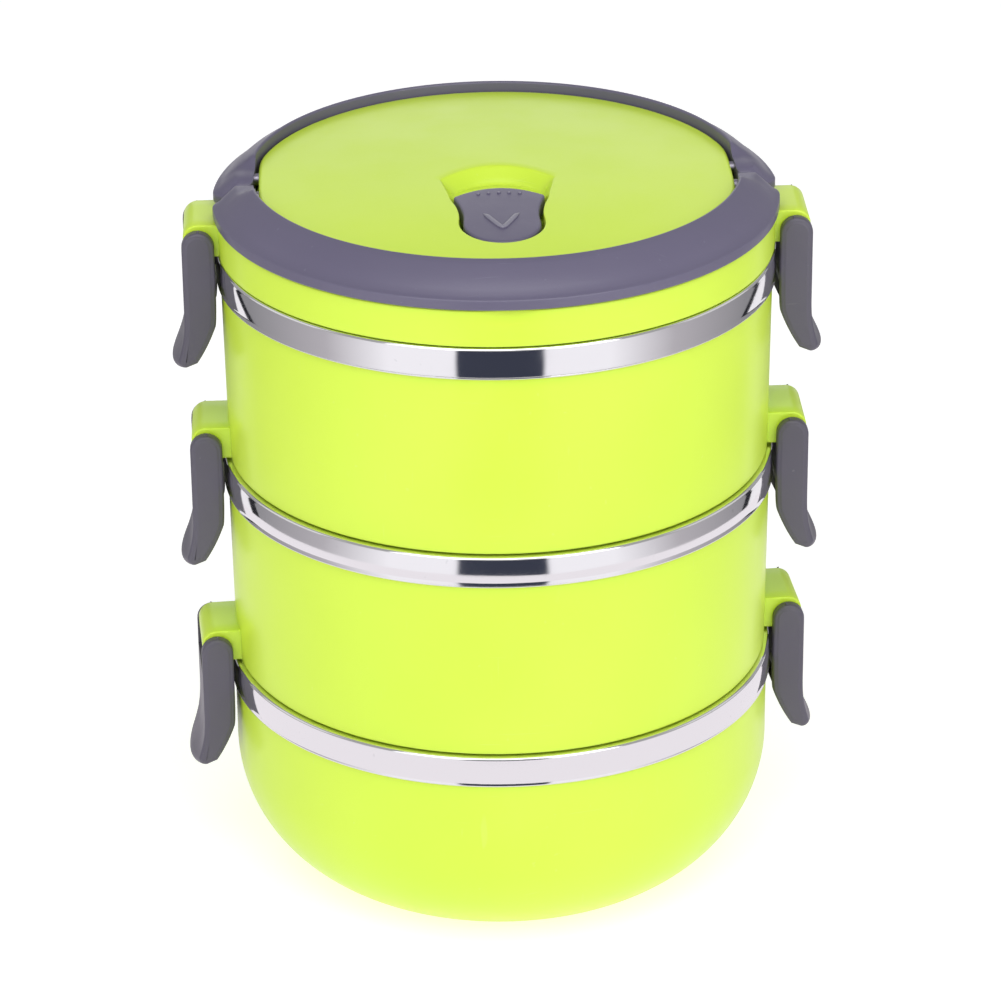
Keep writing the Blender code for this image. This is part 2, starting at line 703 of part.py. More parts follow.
def vent_button(frame):
    """The rocking button: its outline trimmed to the plate's dome, its axle ends and the seal's stem."""
    pocket_floor = dome_height(BUTTON_FRONT) - POCKET_DEPTH
    axle_height = dome_height(BUTTON_WAIST_PLACE) - BUTTON_SINK - AXLE_DEPTH
    hinge = empty("vent_hinge", (0.0, -BUTTON_WAIST_PLACE, axle_height), frame)
    shift = Vector((0.0, BUTTON_WAIST_PLACE, -axle_height))
    underside = dome_height(BUTTON_FRONT) - BUTTON_SINK - BUTTON_THICK
    top = PLATE_EDGE + DOME_RISE + MM
    body = prism("vent_button", button_outline(0.0), underside, top)
    button = piece("vent_button", body, GREY, hinge, shift)
    shares = [0.0, 0.25, 0.5, 0.75, 1.0]
    crown = [(PLATE_RADIUS * share, dome_height(PLATE_RADIUS * share, BUTTON_SINK)) for share in shares]
    crown += [(PLATE_RADIUS, PLATE_EDGE - 4 * POCKET_DEPTH), (0.0, PLATE_EDGE - 4 * POCKET_DEPTH)]
    dome = cutter("button_dome", profile_mesh("dome", crown, False), frame)
    spin_round(dome)
    combine(button, "INTERSECT", dome)
    end = BUTTON_WAIST + BUTTON_PLAY + AXLE_LENGTH
    spans = [(-BUTTON_WAIST_PLACE, axle_height, low, high) for low, high in ((-end, -MM), (MM, end))]
    combine(button, "UNION", cutter("button_axle", rods("axle", BUTTON_AXLE, spans, "X"), frame))
    seal_top = pocket_floor + GAP + SEAL_THICK
    stem = [(0.0, -VENT_PLACE, seal_top + GAP, underside + MM)]
    combine(button, "UNION", cutter("seal_stem", rods("stem", NOSE_RADIUS, stem, "Z"), frame))
    smooth_sides(button)

    low = pocket_floor + GAP
    points = [
        (0.0, seal_top),
        (SEAL_RADIUS - 2 * SEAL_ROUND, seal_top),
        (SEAL_RADIUS, seal_top - 1.5 * SEAL_ROUND),
        (SEAL_RADIUS, low),
        (NOSE_RADIUS + GAP, low),
        (NOSE_RADIUS, low - NOSE_LENGTH),
        (0.0, low - NOSE_LENGTH),
    ]
    seal = turned("vent_seal", points, SILICONE, hinge, closed=False)
    seal.location = (0.0, BUTTON_WAIST_PLACE - VENT_PLACE, -axle_height)
    seal.modifiers["turned"].steps = 16
    seal.modifiers["turned"].render_steps = 16


def handle_profile():
    edge = HANDLE_ROUND
    return [
        (HANDLE_INNER + edge, HANDLE_TOP),
        (HANDLE_INNER + 2 * edge, HANDLE_TOP - 0.2 * edge),
        (HANDLE_OUTER - 1.6 * edge, HANDLE_SHOULDER + 0.6 * edge),
        (HANDLE_OUTER - 0.4 * edge, HANDLE_SHOULDER - 0.6 * edge),
        (HANDLE_OUTER, HANDLE_SHOULDER - 2.0 * edge),
        (HANDLE_OUTER, HANDLE_BOTTOM + edge),
        (HANDLE_OUTER - edge, HANDLE_BOTTOM),
        (HANDLE_INNER + edge, HANDLE_BOTTOM),
        (HANDLE_INNER, HANDLE_BOTTOM + edge),
        (HANDLE_INNER, HANDLE_TOP - edge),
    ]


def handles(frame):
    """Two half-ring handles that lie round the plate and swing up to stand side by side."""
    reach = HANDLE_OUTER + 2 * PAST
    for end, sign in (("front", -1), ("rear", 1)):
        hinge = empty(f"handle_{end}_hinge", (0.0, sign * HINGE_OFFSET, HINGE_HEIGHT), frame)
        handle = turned(f"handle_{end}", handle_profile(), GREY, hinge)
        handle.location = (0.0, -sign * HINGE_OFFSET, -HINGE_HEIGHT)
        round_end = arc((HINGE_OFFSET, HINGE_HEIGHT), HANDLE_END, 270, 90, 12)
        outline = [(reach, HINGE_HEIGHT - HANDLE_END), *round_end, (reach, HINGE_HEIGHT + HANDLE_END)]
        outline = [(sign * y, z) for y, z in outline]
        keep = cutter(f"handle_{end}_extent", prism("extent", outline, -reach, reach, "X"), frame)
        combine(handle, "INTERSECT", keep)
        bore = HANDLE_INNER + PIN_GRIP + GAP
        spans = [(sign * HINGE_OFFSET, HINGE_HEIGHT, *sorted((s * FLAT_REACH, s * bore))) for s in (1, -1)]
        bores = cutter(f"handle_{end}_bores", rods("bores", PIN_RADIUS + GAP, spans, "X"), frame)
        combine(handle, "DIFFERENCE", bores)
    for end, place in (("front", -HINGE_OFFSET), ("rear", HINGE_OFFSET)):
        for side, sign in (("right", 1), ("left", -1)):
            low = PLATE_RADIUS - PLATE_WALL - PIN_TAIL
            high = HANDLE_INNER + PIN_GRIP
            pin = rods("pin", PIN_RADIUS, [(0.0, 0.0, low, high)], "X")
            for corner in pin.vertices:
                corner.co.x *= sign
            if sign < 0:
                pin.flip_normals()
            made = piece(f"handle_pin_{end}_{side}", pin, STEEL_FINISH, frame, (0.0, place, HINGE_HEIGHT))
            smooth_sides(made)


def lid(frame):
    lid_cover(frame)
    inside = SKIRT_RADIUS - SHELL_WALL - GAP
    liner = turned("lid_liner", cover_profile(inside), WHITE, frame, closed=False)
    steam = [(0.0, -VENT_PLACE, -PLUG_DEPTH - MM, COVER_WALL - PLUG_DEPTH + MM)]
    combine(liner, "DIFFERENCE", cutter("steam_hole", rods("steam", VENT_HOLE, steam, "Z", 16), frame))
    turned("lid_seal_ring", seal_profile(inside), SILICONE, frame)
    vent_button(frame)
    handles(frame)


def main():
    base = empty("base_frame", (0.0, 0.0, 0.0))
    middle = empty("middle_frame", (0.0, 0.0, SEATS[0]), base, MIDDLE_TURN)
    top = empty("top_frame", (0.0, 0.0, TIER_PITCH), middle, -MIDDLE_TURN)
    cap = empty("lid_frame", (0.0, 0.0, TIER_PITCH), top)
    bottom_tier(base)
    upper_tier("middle", middle)
    upper_tier("top", top)
    lid(cap)
    add_clips("lid", cap)
    add_clips("top", top)
    add_clips("middle", middle)


main()
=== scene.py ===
import math

import bmesh
import bpy
from mathutils import Matrix, Vector


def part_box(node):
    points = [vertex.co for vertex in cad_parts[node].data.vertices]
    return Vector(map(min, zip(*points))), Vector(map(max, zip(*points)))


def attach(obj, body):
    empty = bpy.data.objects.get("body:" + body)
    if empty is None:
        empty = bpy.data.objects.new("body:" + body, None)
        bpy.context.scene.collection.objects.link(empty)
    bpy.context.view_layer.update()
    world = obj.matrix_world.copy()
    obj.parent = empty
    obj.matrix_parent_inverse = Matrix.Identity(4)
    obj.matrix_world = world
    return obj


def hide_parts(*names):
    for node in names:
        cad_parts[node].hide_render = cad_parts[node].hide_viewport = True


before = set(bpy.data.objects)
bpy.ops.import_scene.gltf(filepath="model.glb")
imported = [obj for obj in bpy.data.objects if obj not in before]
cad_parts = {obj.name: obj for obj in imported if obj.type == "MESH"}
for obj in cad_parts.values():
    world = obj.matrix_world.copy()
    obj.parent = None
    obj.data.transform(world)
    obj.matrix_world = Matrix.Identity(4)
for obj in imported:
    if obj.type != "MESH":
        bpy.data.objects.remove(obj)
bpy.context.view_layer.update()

MM = 0.001
MERGE = 0.002 * MM
ROUND_STEPS = 192
SHARP = math.radians(38)
MANY_CORNERS = 12


def low_of(node):
    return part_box(node)[0].z


def top_of(node):
    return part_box(node)[1].z


# Levels and radii that everything is built from
SEATS = [top_of(f"{level}_steel_bowl") for level in ("bottom", "middle", "top")]
BAND_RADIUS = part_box("bottom_steel_bowl")[1].x
PITCH = SEATS[1] - SEATS[0]
GAP = low_of("lid_cover") - SEATS[2]
BAND_TALL = 8.2 * MM
SHELL_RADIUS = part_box("bottom_shell")[1].x
SHELL_DRAFT = 0.7 * MM
WALL = 2.0 * MM
STEEL = 0.6 * MM
BOWL_MOUTH = BAND_RADIUS - STEEL - 4.8 * MM
BELLY_ROUND = 37.0 * MM
BELLY_HEIGHT = 33.2 * MM
PLUG_PLAY = 0.8 * MM
SEAL_TALL = 2.0 * MM
MIDDLE_TURN = math.radians(4.0)
LID_SEAT = SEATS[2]
SKIRT_RADIUS = BAND_RADIUS - 0.5 * MM
DECK = LID_SEAT + GAP + 9.6 * MM
DECK_INNER = 57.5 * MM
PLATE_RADIUS = SKIRT_RADIUS - 9.6 * MM
FLAT_REACH = PLATE_RADIUS - 1.5 * MM
PLATE_EDGE = LID_SEAT + 17.6 * MM
DOME_RISE = 2.8 * MM
PIVOT_REACH = BAND_RADIUS + 4.25 * MM
PIVOT_RISE = 3.9 * MM
HANDLE_END = 6.1 * MM
HANDLE_INNER = PLATE_RADIUS + 0.5 * MM
HANDLE_OUTER = SKIRT_RADIUS + 1.0 * MM
HINGE_OFFSET = HANDLE_END + GAP
HINGE_HEIGHT = LID_SEAT + 15.5 * MM


# Building in bmesh


def arc(centre, radius, start, end, steps):
    """Points along a circle, angles in degrees."""
    angles = [math.radians(start + (end - start) * step / steps) for step in range(steps + 1)]
    return [(centre[0] + radius * math.cos(a), centre[1] + radius * math.sin(a)) for a in angles]


def bezier(a, b, c, d, steps):
    """Points along a cubic curve, without its last one."""
    found = []
    for step in range(steps):
        t = step / steps
        s = 1.0 - t
        weights = (s**3, 3 * s * s * t, 3 * s * t * t, t**3)
        found.append(tuple(sum(w * p[axis] for w, p in zip(weights, (a, b, c, d))) for axis in (0, 1)))
    return found


def wire(bm, points, closed):
    corners = [bm.verts.new(point) for point in points]
    edges = [bm.edges.new(pair) for pair in zip(corners, corners[1:])]
    if closed:
        edges.append(bm.edges.new((corners[-1], corners[0])))
    return corners, edges


def tidy_skin(bm):
    bmesh.ops.remove_doubles(bm, verts=bm.verts, dist=MERGE)
    bmesh.ops.dissolve_degenerate(bm, edges=bm.edges, dist=MERGE / 4)
    bmesh.ops.recalc_face_normals(bm, faces=bm.faces)
    return bm


def spun(points, closed=False, steps=ROUND_STEPS, centre=(0.0, 0.0)):
    """A (radius, height) line spun round an upright axis."""
    bm = bmesh.new()
    x, y = centre
    corners, edges = wire(bm, [(x + radius, y, height) for radius, height in points], closed)
    bmesh.ops.spin(
        bm,
        geom=[*corners, *edges],
        cent=(x, y, 0.0),
        axis=(0.0, 0.0, 1.0),
        dvec=(0.0, 0.0, 0.0),
        angle=math.tau,
        steps=steps,
        use_merge=True,
        use_duplicate=False,
    )
    return tidy_skin(bm)


def drawn(loops, caps=True):
    """A skin drawn through closed loops that all have the same number of points."""
    bm = bmesh.new()
    order = bm.verts.layers.int.new("order")
    ring, edges = wire(bm, loops[0], closed=True)
    for place, corner in enumerate(ring):
        corner[order] = place
    ends = [edges]
    for loop in loops[1:]:
        made = bmesh.ops.extrude_edge_only(bm, edges=edges)["geom"]
        corners = {item for item in made if isinstance(item, bmesh.types.BMVert)}
        for corner in corners:
            corner.co = loop[corner[order]]
        edges = [item for item in made if isinstance(item, bmesh.types.BMEdge)]
        edges = [edge for edge in edges if corners.issuperset(edge.verts)]
    ends.append(edges)
    if caps:
        for end in ends:
            bmesh.ops.edgeloop_fill(bm, edges=end)
    bm.verts.layers.int.remove(order)
    return tidy_skin(bm)


def mesh_of(name, bm):
    mesh = bpy.data.meshes.new(name)
    bm.to_mesh(mesh)
    bm.free()
    return mesh


def added(name, data):
    made = bpy.data.objects.new(name, data)
    bpy.context.scene.collection.objects.link(made)
    return made


def joined(*parts):
    """Several bmeshes as one."""
    whole = bmesh.new()
    for part in parts:
        held = mesh_of("held", part)
        whole.from_mesh(held)
        bpy.data.meshes.remove(held)
    return whole


def placed(bm, turn=0.0, shift=(0.0, 0.0, 0.0)):
    bmesh.ops.rotate(bm, verts=bm.verts, cent=(0.0, 0.0, 0.0), matrix=Matrix.Rotation(turn, 3, "Z"))
    bmesh.ops.translate(bm, verts=bm.verts, vec=shift)
    return bm


def shade(mesh):
    """Smooth, but for sharp edges and the flat ends with many corners."""
    mesh.shade_smooth()
    mesh.set_sharp_from_angle(angle=SHARP)
    for face in mesh.polygons:
        if face.loop_total > MANY_CORNERS:
            face.use_smooth = False


def shown(name, bm, finish, body, nodes):
    """Makes the piece, in place, riding on its body and standing for its CAD nodes."""
    mesh = mesh_of(name, bm)
    shade(mesh)
    for one in finish if isinstance(finish, list) else [finish]:
        mesh.materials.append(one)
    made = added(name, mesh)
    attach(made, body)
    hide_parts(*nodes)
    return made


def carve(made, cutter_bm):
    """Takes the cutter's shape out of a piece, for good."""
    cutter = added("cutter", mesh_of("cutter", cutter_bm))
    modifier = made.modifiers.new("cut", "BOOLEAN")
    modifier.operation = "DIFFERENCE"
    modifier.solver = "EXACT"
    modifier.object = cutter
    graph = bpy.context.evaluated_depsgraph_get()
    carved = bpy.data.meshes.new_from_object(made.evaluated_get(graph))
    made.modifiers.clear()
    made.data = carved
    bpy.data.objects.remove(cutter)


def grown(outline, amount):
    """A closed flat outline moved outwards, or inwards by a negative amount. The outline runs clockwise."""
    found = []
    for index, (x, y) in enumerate(outline):
        before = outline[index - 1]
        after = outline[(index + 1) % len(outline)]
        along = Vector((after[0] - before[0], after[1] - before[1])).normalized()
        found.append((x - along.y * amount, y + along.x * amount))
    return found


# Finishes


def new_group(name, inputs, outputs):
    group = bpy.data.node_groups.new(name, "ShaderNodeTree")
    for label, kind, value in inputs:
        socket = group.interface.new_socket(name=label, in_out="INPUT", socket_type=kind)
        if value is not None:
            socket.default_value = value
    for label, kind in outputs:
        group.interface.new_socket(name=label, in_out="OUTPUT", socket_type=kind)
    return group, group.nodes.new("NodeGroupInput"), group.nodes.new("NodeGroupOutput")


def feed(node, label, value):
    """Sets an input of a node, or links it where the value is another node's output."""
    if isinstance(value, bpy.types.NodeSocket):
        node.id_data.links.new(value, node.inputs[label])
    else:
        node.inputs[label].default_value = value


def noise(tree, place, scale, detail=3.0, roughness=0.5):
    node = tree.nodes.new("ShaderNodeTexNoise")
    for label, value in (("Vector", place), ("Scale", scale), ("Detail", detail), ("Roughness", roughness)):
        feed(node, label, value)
    return node.outputs["Fac"]


def stretched(tree, place, scale, turn=(0.0, 0.0, 0.0)):
    node = tree.nodes.new("ShaderNodeMapping")
    for label, value in (("Vector", place), ("Rotation", turn), ("Scale", scale)):
        feed(node, label, value)
    return node.outputs["Vector"]


def maths(tree, operation, *values):
    node = tree.nodes.new("ShaderNodeMath")
    node.operation = operation
    for index, value in enumerate(values):
        feed(node, index, value)
    return node.outputs[0]


def ramped(tree, value, low, high):
    """A soft step from 0 at low to 1 at high."""
    node = tree.nodes.new("ShaderNodeMapRange")
    node.interpolation_type = "SMOOTHSTEP"
    for label, number in (("Value", value), ("From Min", low), ("From Max", high)):
        feed(node, label, number)
    return node.outputs["Result"]


def moulding_group():
    """Fine moulded texture and slow unevenness, as a height and a mask."""
    inputs = [("Place", "NodeSocketVector", None), ("Grain Size", "NodeSocketFloat", 1600.0)]
    inputs += [("Grain", "NodeSocketFloat", 0.3), ("Flow", "NodeSocketFloat", 0.6)]
    outputs = [("Height", "NodeSocketFloat"), ("Blotch", "NodeSocketFloat")]
    group, start, end = new_group("moulded_surface", inputs, outputs)
    grain = noise(group, start.outputs["Place"], start.outputs["Grain Size"], 2.0)
    flow = noise(group, start.outputs["Place"], 26.0, 2.0)
    height = maths(group, "MULTIPLY", grain, start.outputs["Grain"])
    slow = maths(group, "MULTIPLY", flow, start.outputs["Flow"])
    feed(end, "Height", maths(group, "ADD", height, slow))
    blotch = noise(group, start.outputs["Place"], 75.0, 5.0, 0.6)
    feed(end, "Blotch", ramped(group, blotch, 0.35, 0.68))
    return group


def scuff_group():
    """Hairline scratches in three directions and small scuffed patches, as masks."""
    inputs = [("Place", "NodeSocketVector", None), ("Density", "NodeSocketFloat", 0.5)]
    outputs = [("Scratches", "NodeSocketFloat"), ("Specks", "NodeSocketFloat")]
    group, start, end = new_group("handling_marks", inputs, outputs)
    found = []
    ways = ((0.5, (55.0, 2600.0, 70.0)), (-1.1, (2300.0, 60.0, 90.0)), (0.2, (70.0, 50.0, 2700.0)))
    for turn, stretch in ways:
        drawn_out = stretched(group, start.outputs["Place"], stretch, (turn * 0.6, turn * 0.3, turn))
        lines = noise(group, drawn_out, 1.0, 1.0)
        found.append(ramped(group, lines, 0.72, 0.78))
    patch = ramped(group, noise(group, start.outputs["Place"], 90.0, 2.0), 0.5, 0.66)
    scratches = maths(group, "MAXIMUM", maths(group, "MAXIMUM", found[0], found[1]), found[2])
    scratches = maths(group, "MULTIPLY", maths(group, "MULTIPLY", scratches, patch), start.outputs["Density"])
    feed(end, "Scratches", scratches)
    specks = ramped(group, noise(group, start.outputs["Place"], 520.0, 1.0), 0.76, 0.80)
    feed(end, "Specks", maths(group, "MULTIPLY", specks, start.outputs["Density"]))
    return group


MOULDED = moulding_group()
SCUFFED = scuff_group()


def new_finish(name):
    made = bpy.data.materials.new(name)
    made.use_nodes = True
    tree = made.node_tree
    return made, tree, tree.nodes["Principled BSDF"], tree.nodes.new("ShaderNodeTexCoord").outputs["Object"]


def use(tree, group, place, **values):
    node = tree.nodes.new("ShaderNodeGroup")
    node.node_tree = group
    feed(node, "Place", place)
    for label, value in values.items():
        feed(node, label.replace("_", " "), value)
    return node


def blended(tree, mask, first, second):
    node = tree.nodes.new("ShaderNodeMix")
    node.data_type = "RGBA"
    for index, colour in ((6, first), (7, second)):
        feed(node, index, (*colour, 1.0) if isinstance(colour, tuple) else colour)
    feed(node, 0, mask)
    return node.outputs[2]


def bumped(tree, shader, height, distance):
    node = tree.nodes.new("ShaderNodeBump")
    feed(node, "Distance", distance)
    feed(node, "Height", height)
    feed(shader, "Normal", node.outputs["Normal"])


def plastic(name, deep, light, worn, roughness, grain_size, grain, bump, coat=0.0, density=0.5):
    """Moulded plastic: slow colour drift, fine grain, and a few hairlines and specks."""
    made, tree, shader, place = new_finish(name)
    surface = use(tree, MOULDED, place, Grain_Size=grain_size, Grain=grain)
    marks = use(tree, SCUFFED, place, Density=density)
    drift = ramped(tree, noise(tree, place, 14.0, 2.0), 0.3, 0.7)
    colour = blended(tree, drift, deep, light)
    spoilt = maths(tree, "MULTIPLY", maths(tree, "MAXIMUM", *marks.outputs), 0.55)
    feed(shader, "Base Color", blended(tree, spoilt, colour, worn))
    sheen = maths(tree, "MULTIPLY_ADD", surface.outputs["Blotch"], 0.07, roughness)
    sheen = maths(tree, "ADD", sheen, maths(tree, "MULTIPLY", marks.outputs["Scratches"], 0.2))
    feed(shader, "Roughness", sheen)
    height = maths(tree, "SUBTRACT", surface.outputs["Height"], marks.outputs["Scratches"])
    bumped(tree, shader, height, bump)
    feed(shader, "Coat Weight", coat)
    feed(shader, "Coat Roughness", 0.16)
    feed(shader, "IOR", 1.49)
    return made


def polished(name, tone, roughness, waviness, wave_size, density):
    """Mirror steel, formed a little unevenly, with fine wiping scratches."""
    made, tree, shader, place = new_finish(name)
    marks = use(tree, SCUFFED, place, Density=density)
    lines = noise(tree, stretched(tree, place, (40.0, 40.0, 900.0)), 1.0, 4.0, 0.7)
    haze = noise(tree, place, 60.0, 4.0, 0.6)
    gloss = maths(tree, "MULTIPLY_ADD", ramped(tree, haze, 0.35, 0.75), 0.05, roughness)
    gloss = maths(tree, "ADD", gloss, maths(tree, "MULTIPLY", marks.outputs["Scratches"], 0.3))
    feed(shader, "Roughness", gloss)
    dulled = maths(tree, "MULTIPLY", marks.outputs["Specks"], 0.4)
    feed(shader, "Base Color", blended(tree, dulled, tone, tuple(0.72 * part for part in tone)))
    feed(shader, "Metallic", 1.0)
    swell = noise(tree, stretched(tree, place, (1.0, 1.0, 0.8)), wave_size, 1.0, 0.4)
    wave = maths(tree, "MULTIPLY", swell, waviness)
    height = maths(tree, "ADD", wave, maths(tree, "MULTIPLY", lines, 0.004))
    bumped(tree, shader, height, 1.0 * MM)
    return made


def spun_steel():
    """The bowls' insides: satin steel with rings left by spinning."""
    made, tree, shader, place = new_finish("spun_steel")
    split = tree.nodes.new("ShaderNodeSeparateXYZ")
    feed(split, 0, place)
    x, y, z = split.outputs
    squared = maths(tree, "MULTIPLY_ADD", x, x, maths(tree, "MULTIPLY", y, y))
    radius = maths(tree, "SQRT", squared)
    path = tree.nodes.new("ShaderNodeCombineXYZ")
    feed(path, "X", maths(tree, "MULTIPLY", radius, 1500.0))
    feed(path, "Y", maths(tree, "MULTIPLY", z, 1500.0))
    rings = noise(tree, path.outputs[0], 1.0, 3.0, 0.65)
    haze = noise(tree, place, 45.0, 4.0, 0.6)
    gloss = maths(tree, "MULTIPLY_ADD", rings, 0.16, 0.16)
    feed(shader, "Roughness", maths(tree, "ADD", gloss, maths(tree, "MULTIPLY", haze, 0.05)))
    feed(shader, "Base Color", blended(tree, haze, (0.66, 0.66, 0.68), (0.80, 0.80, 0.81)))
    feed(shader, "Metallic", 1.0)
    bumped(tree, shader, rings, 0.02 * MM)
    return made


def soft_rubber():
    """Milky silicone, slightly dusty."""
    made, tree, shader, place = new_finish("milky_silicone")
    surface = use(tree, MOULDED, place, Grain_Size=900.0, Grain=0.5)
    milk = blended(tree, surface.outputs["Blotch"], (0.78, 0.79, 0.78), (0.86, 0.87, 0.86))
    feed(shader, "Base Color", milk)
    feed(shader, "Roughness", maths(tree, "MULTIPLY_ADD", surface.outputs["Blotch"], 0.12, 0.5))
    bumped(tree, shader, surface.outputs["Height"], 0.03 * MM)
    feed(shader, "Subsurface Weight", 0.25)
    feed(shader, "Subsurface Radius", (0.004, 0.004, 0.004))
    feed(shader, "Subsurface Scale", 1.0)
    return made


LIME = plastic(
    "lime_plastic", (0.62, 0.845, 0.050), (0.65, 0.87, 0.060), (0.70, 0.88, 0.20),
    roughness=0.30, grain_size=1500.0, grain=0.25, bump=0.05 * MM, coat=0.05, density=0.3,
)
HANDLE_GREY = plastic(
    "handle_grey", (0.120, 0.108, 0.174), (0.133, 0.120, 0.190), (0.24, 0.23, 0.30),
    roughness=0.36, grain_size=2100.0, grain=0.35, bump=0.04 * MM, coat=0.1, density=0.35,
)
# A lighter copy of the handle grey for the tops of the button's chevron and dots: a painted highlight.
PAINTED_HIGHLIGHT_GREY = plastic(
    "painted_highlight_grey", (0.235, 0.225, 0.285), (0.26, 0.25, 0.31), (0.34, 0.33, 0.38),
    roughness=0.34, grain_size=2100.0, grain=0.35, bump=0.04 * MM, coat=0.1, density=0.3,
)
CLIP_GREY = plastic(
    "clip_grey", (0.090, 0.082, 0.114), (0.102, 0.094, 0.127), (0.22, 0.22, 0.26),
    roughness=0.38, grain_size=1900.0, grain=0.4, bump=0.05 * MM, density=0.4,
)
INNER_WHITE = plastic(
    "inner_white", (0.76, 0.77, 0.75), (0.82, 0.82, 0.80), (0.62, 0.62, 0.60),
    roughness=0.42, grain_size=1200.0, grain=0.3, bump=0.05 * MM,
)
BAND_STEEL = polished("band_steel", (0.86, 0.855, 0.87), 0.055, 0.22, 38.0, 0.5)
PIN_STEEL = polished("pin_steel", (0.34, 0.32, 0.39), 0.42, 0.02, 60.0, 0.4)
SPUN_STEEL = spun_steel()
SILICONE = soft_rubber()


# Tiers


def band_line(seat):
    """The band from the seat's inner edge over the shoulder, down to its rolled lip and back up inside."""
    inside = BAND_RADIUS - STEEL
    foot = seat - BAND_TALL
    bulge = 0.16 * MM
    high, low = seat - 0.75 * MM, foot + 1.0 * MM
    edge = BAND_RADIUS - 0.02 * MM - bulge
    shoulder = arc((edge - 0.7 * MM, seat - 0.7 * MM), 0.7 * MM, 90, 5, 8)
    lip = arc((BAND_RADIUS - 0.36 * MM, foot + 0.36 * MM), 0.36 * MM, 20, -180, 9)
    barrel = []
    for step in range(13):
        share = step / 6 - 1.0
        barrel.append((edge + bulge * (1.0 - share * share), high + (low - high) * step / 12))
    return [
        (BOWL_MOUTH + 0.5 * MM, seat),
        *shoulder,
        *barrel,
        *lip,
        (inside, foot + 0.6 * MM),
        (inside, seat - 1.2 * MM),
        (inside - 0.4 * MM, seat - STEEL),
        (BOWL_MOUTH + STEEL, seat - STEEL),
    ]


def steel_bowl(level, floor, wall, corner_height, corner, ring_line):
    """A spun bowl and its band: corner is its inside corner's radius, ring_line its pressed ring's place."""
    seat = SEATS[("bottom", "middle", "top").index(level)]
    turn = -math.degrees(math.asin(min(1.0, (corner_height - floor - STEEL) / corner)))
    inner = arc((wall - corner, corner_height), corner, turn, 0, 14)
    outer_turn = -math.degrees(math.asin(min(1.0, (corner_height - floor) / (corner + STEEL))))
    outer = arc((wall - corner, corner_height), corner + STEEL, 0, outer_turn, 14)
    bead = 0.35 * MM
    ring = [
        (ring_line - 2.4 * MM, floor + STEEL),
        (ring_line - 1.2 * MM, floor + STEEL + bead),
        (ring_line, floor + STEEL + bead),
        (ring_line + 1.2 * MM, floor + STEEL),
    ]
    inside = [(0.0, floor + STEEL), *ring, *inner, (BOWL_MOUTH - 0.05 * MM, seat - 1.0 * MM)]
    inside += arc((BOWL_MOUTH + 0.5 * MM, seat - 0.5 * MM), 0.5 * MM, 180, 95, 5)
    bm = spun([*inside, *band_line(seat), *outer, (0.0, floor)])
    for face in bm.faces:
        middle = face.calc_center_median()
        face.material_index = int(middle.xy.length < BOWL_MOUTH and middle.z < seat - 0.4 * MM)
    steels = [BAND_STEEL, SPUN_STEEL]
    shown(f"{level}_bowl_and_band", bm, steels, f"{level}_tier", [f"{level}_steel_bowl"])


def bottom_shell():
    top = SEATS[0] - STEEL - GAP
    centre = (SHELL_RADIUS - BELLY_ROUND, BELLY_HEIGHT)
    down = -math.degrees(math.asin(BELLY_HEIGHT / BELLY_ROUND))
    outer = arc(centre, BELLY_ROUND, 0, down, 44)
    ring_height, ring_step, hollow = 2.3 * MM, 0.22 * MM, 1.5 * MM
    foot = [
        (radius - (ring_step if height < ring_height else 0.0), height)
        for radius, height in outer
        if height > 0.25 * MM
    ]
    edge = outer[-1][0] - ring_step
    floor = hollow + WALL
    inner_turn = -math.degrees(math.asin((BELLY_HEIGHT - floor) / (BELLY_ROUND - WALL)))
    inner = arc(centre, BELLY_ROUND - WALL, inner_turn, 0, 14)
    line = [
        (0.0, floor),
        *inner,
        (SHELL_RADIUS - WALL, top),
        (SHELL_RADIUS, top),
        (SHELL_RADIUS, BELLY_HEIGHT + 9.0 * MM),
        *foot,
        (edge - 0.1 * MM, 0.08 * MM),
        (edge - 0.45 * MM, 0.0),
        (edge - 3.6 * MM, 0.0),
        (edge - 4.1 * MM, 0.3 * MM),
        (edge - 4.9 * MM, hollow),
        (0.0, hollow),
    ]
    shown("bottom_shell_moulding", spun(line), LIME, "bottom_tier", ["bottom_shell"])


def lug(root):
    """One lug, rounded at its ends, from inside the wall out past the pivot; relative to the pivot."""
    reach, rise, drop, corner = 3.75 * MM, 5.4 * MM, 3.3 * MM, 3.8 * MM
    half = 9.0 * MM
    ease = 0.45 * MM
    stations = [(-half, ease)]
    stations += [(-half + ease * (1 - math.cos(a)), ease * (1 - math.sin(a))) for a in (0.5, 1.0)]
    stations += [(-half + ease, 0.0), (-half / 2, 0.0), (0.0, 0.0)]
    stations += [(-y, inset) for y, inset in reversed(stations[:-1])]
    loops = []
    for y, inset in stations:
        top = arc((reach - corner, rise - corner), corner - inset, 90, 0, 14)
        low = arc((reach - drop, 0.0), drop - inset, 0, -90, 10)
        outline = [(root, rise - inset), (root * 0.4, rise - inset), *top, *low, (root * 0.4, inset - drop)]
        outline.append((root, inset - drop))
        loops.append([(PIVOT_REACH + x, y, PIVOT_RISE + z) for x, z in outline])
    return drawn(loops)


def lug_pair(root_radius):
    """The right and left lugs of a ring."""
    root = root_radius - PIVOT_REACH
    return joined(lug(root), placed(lug(root), math.pi))


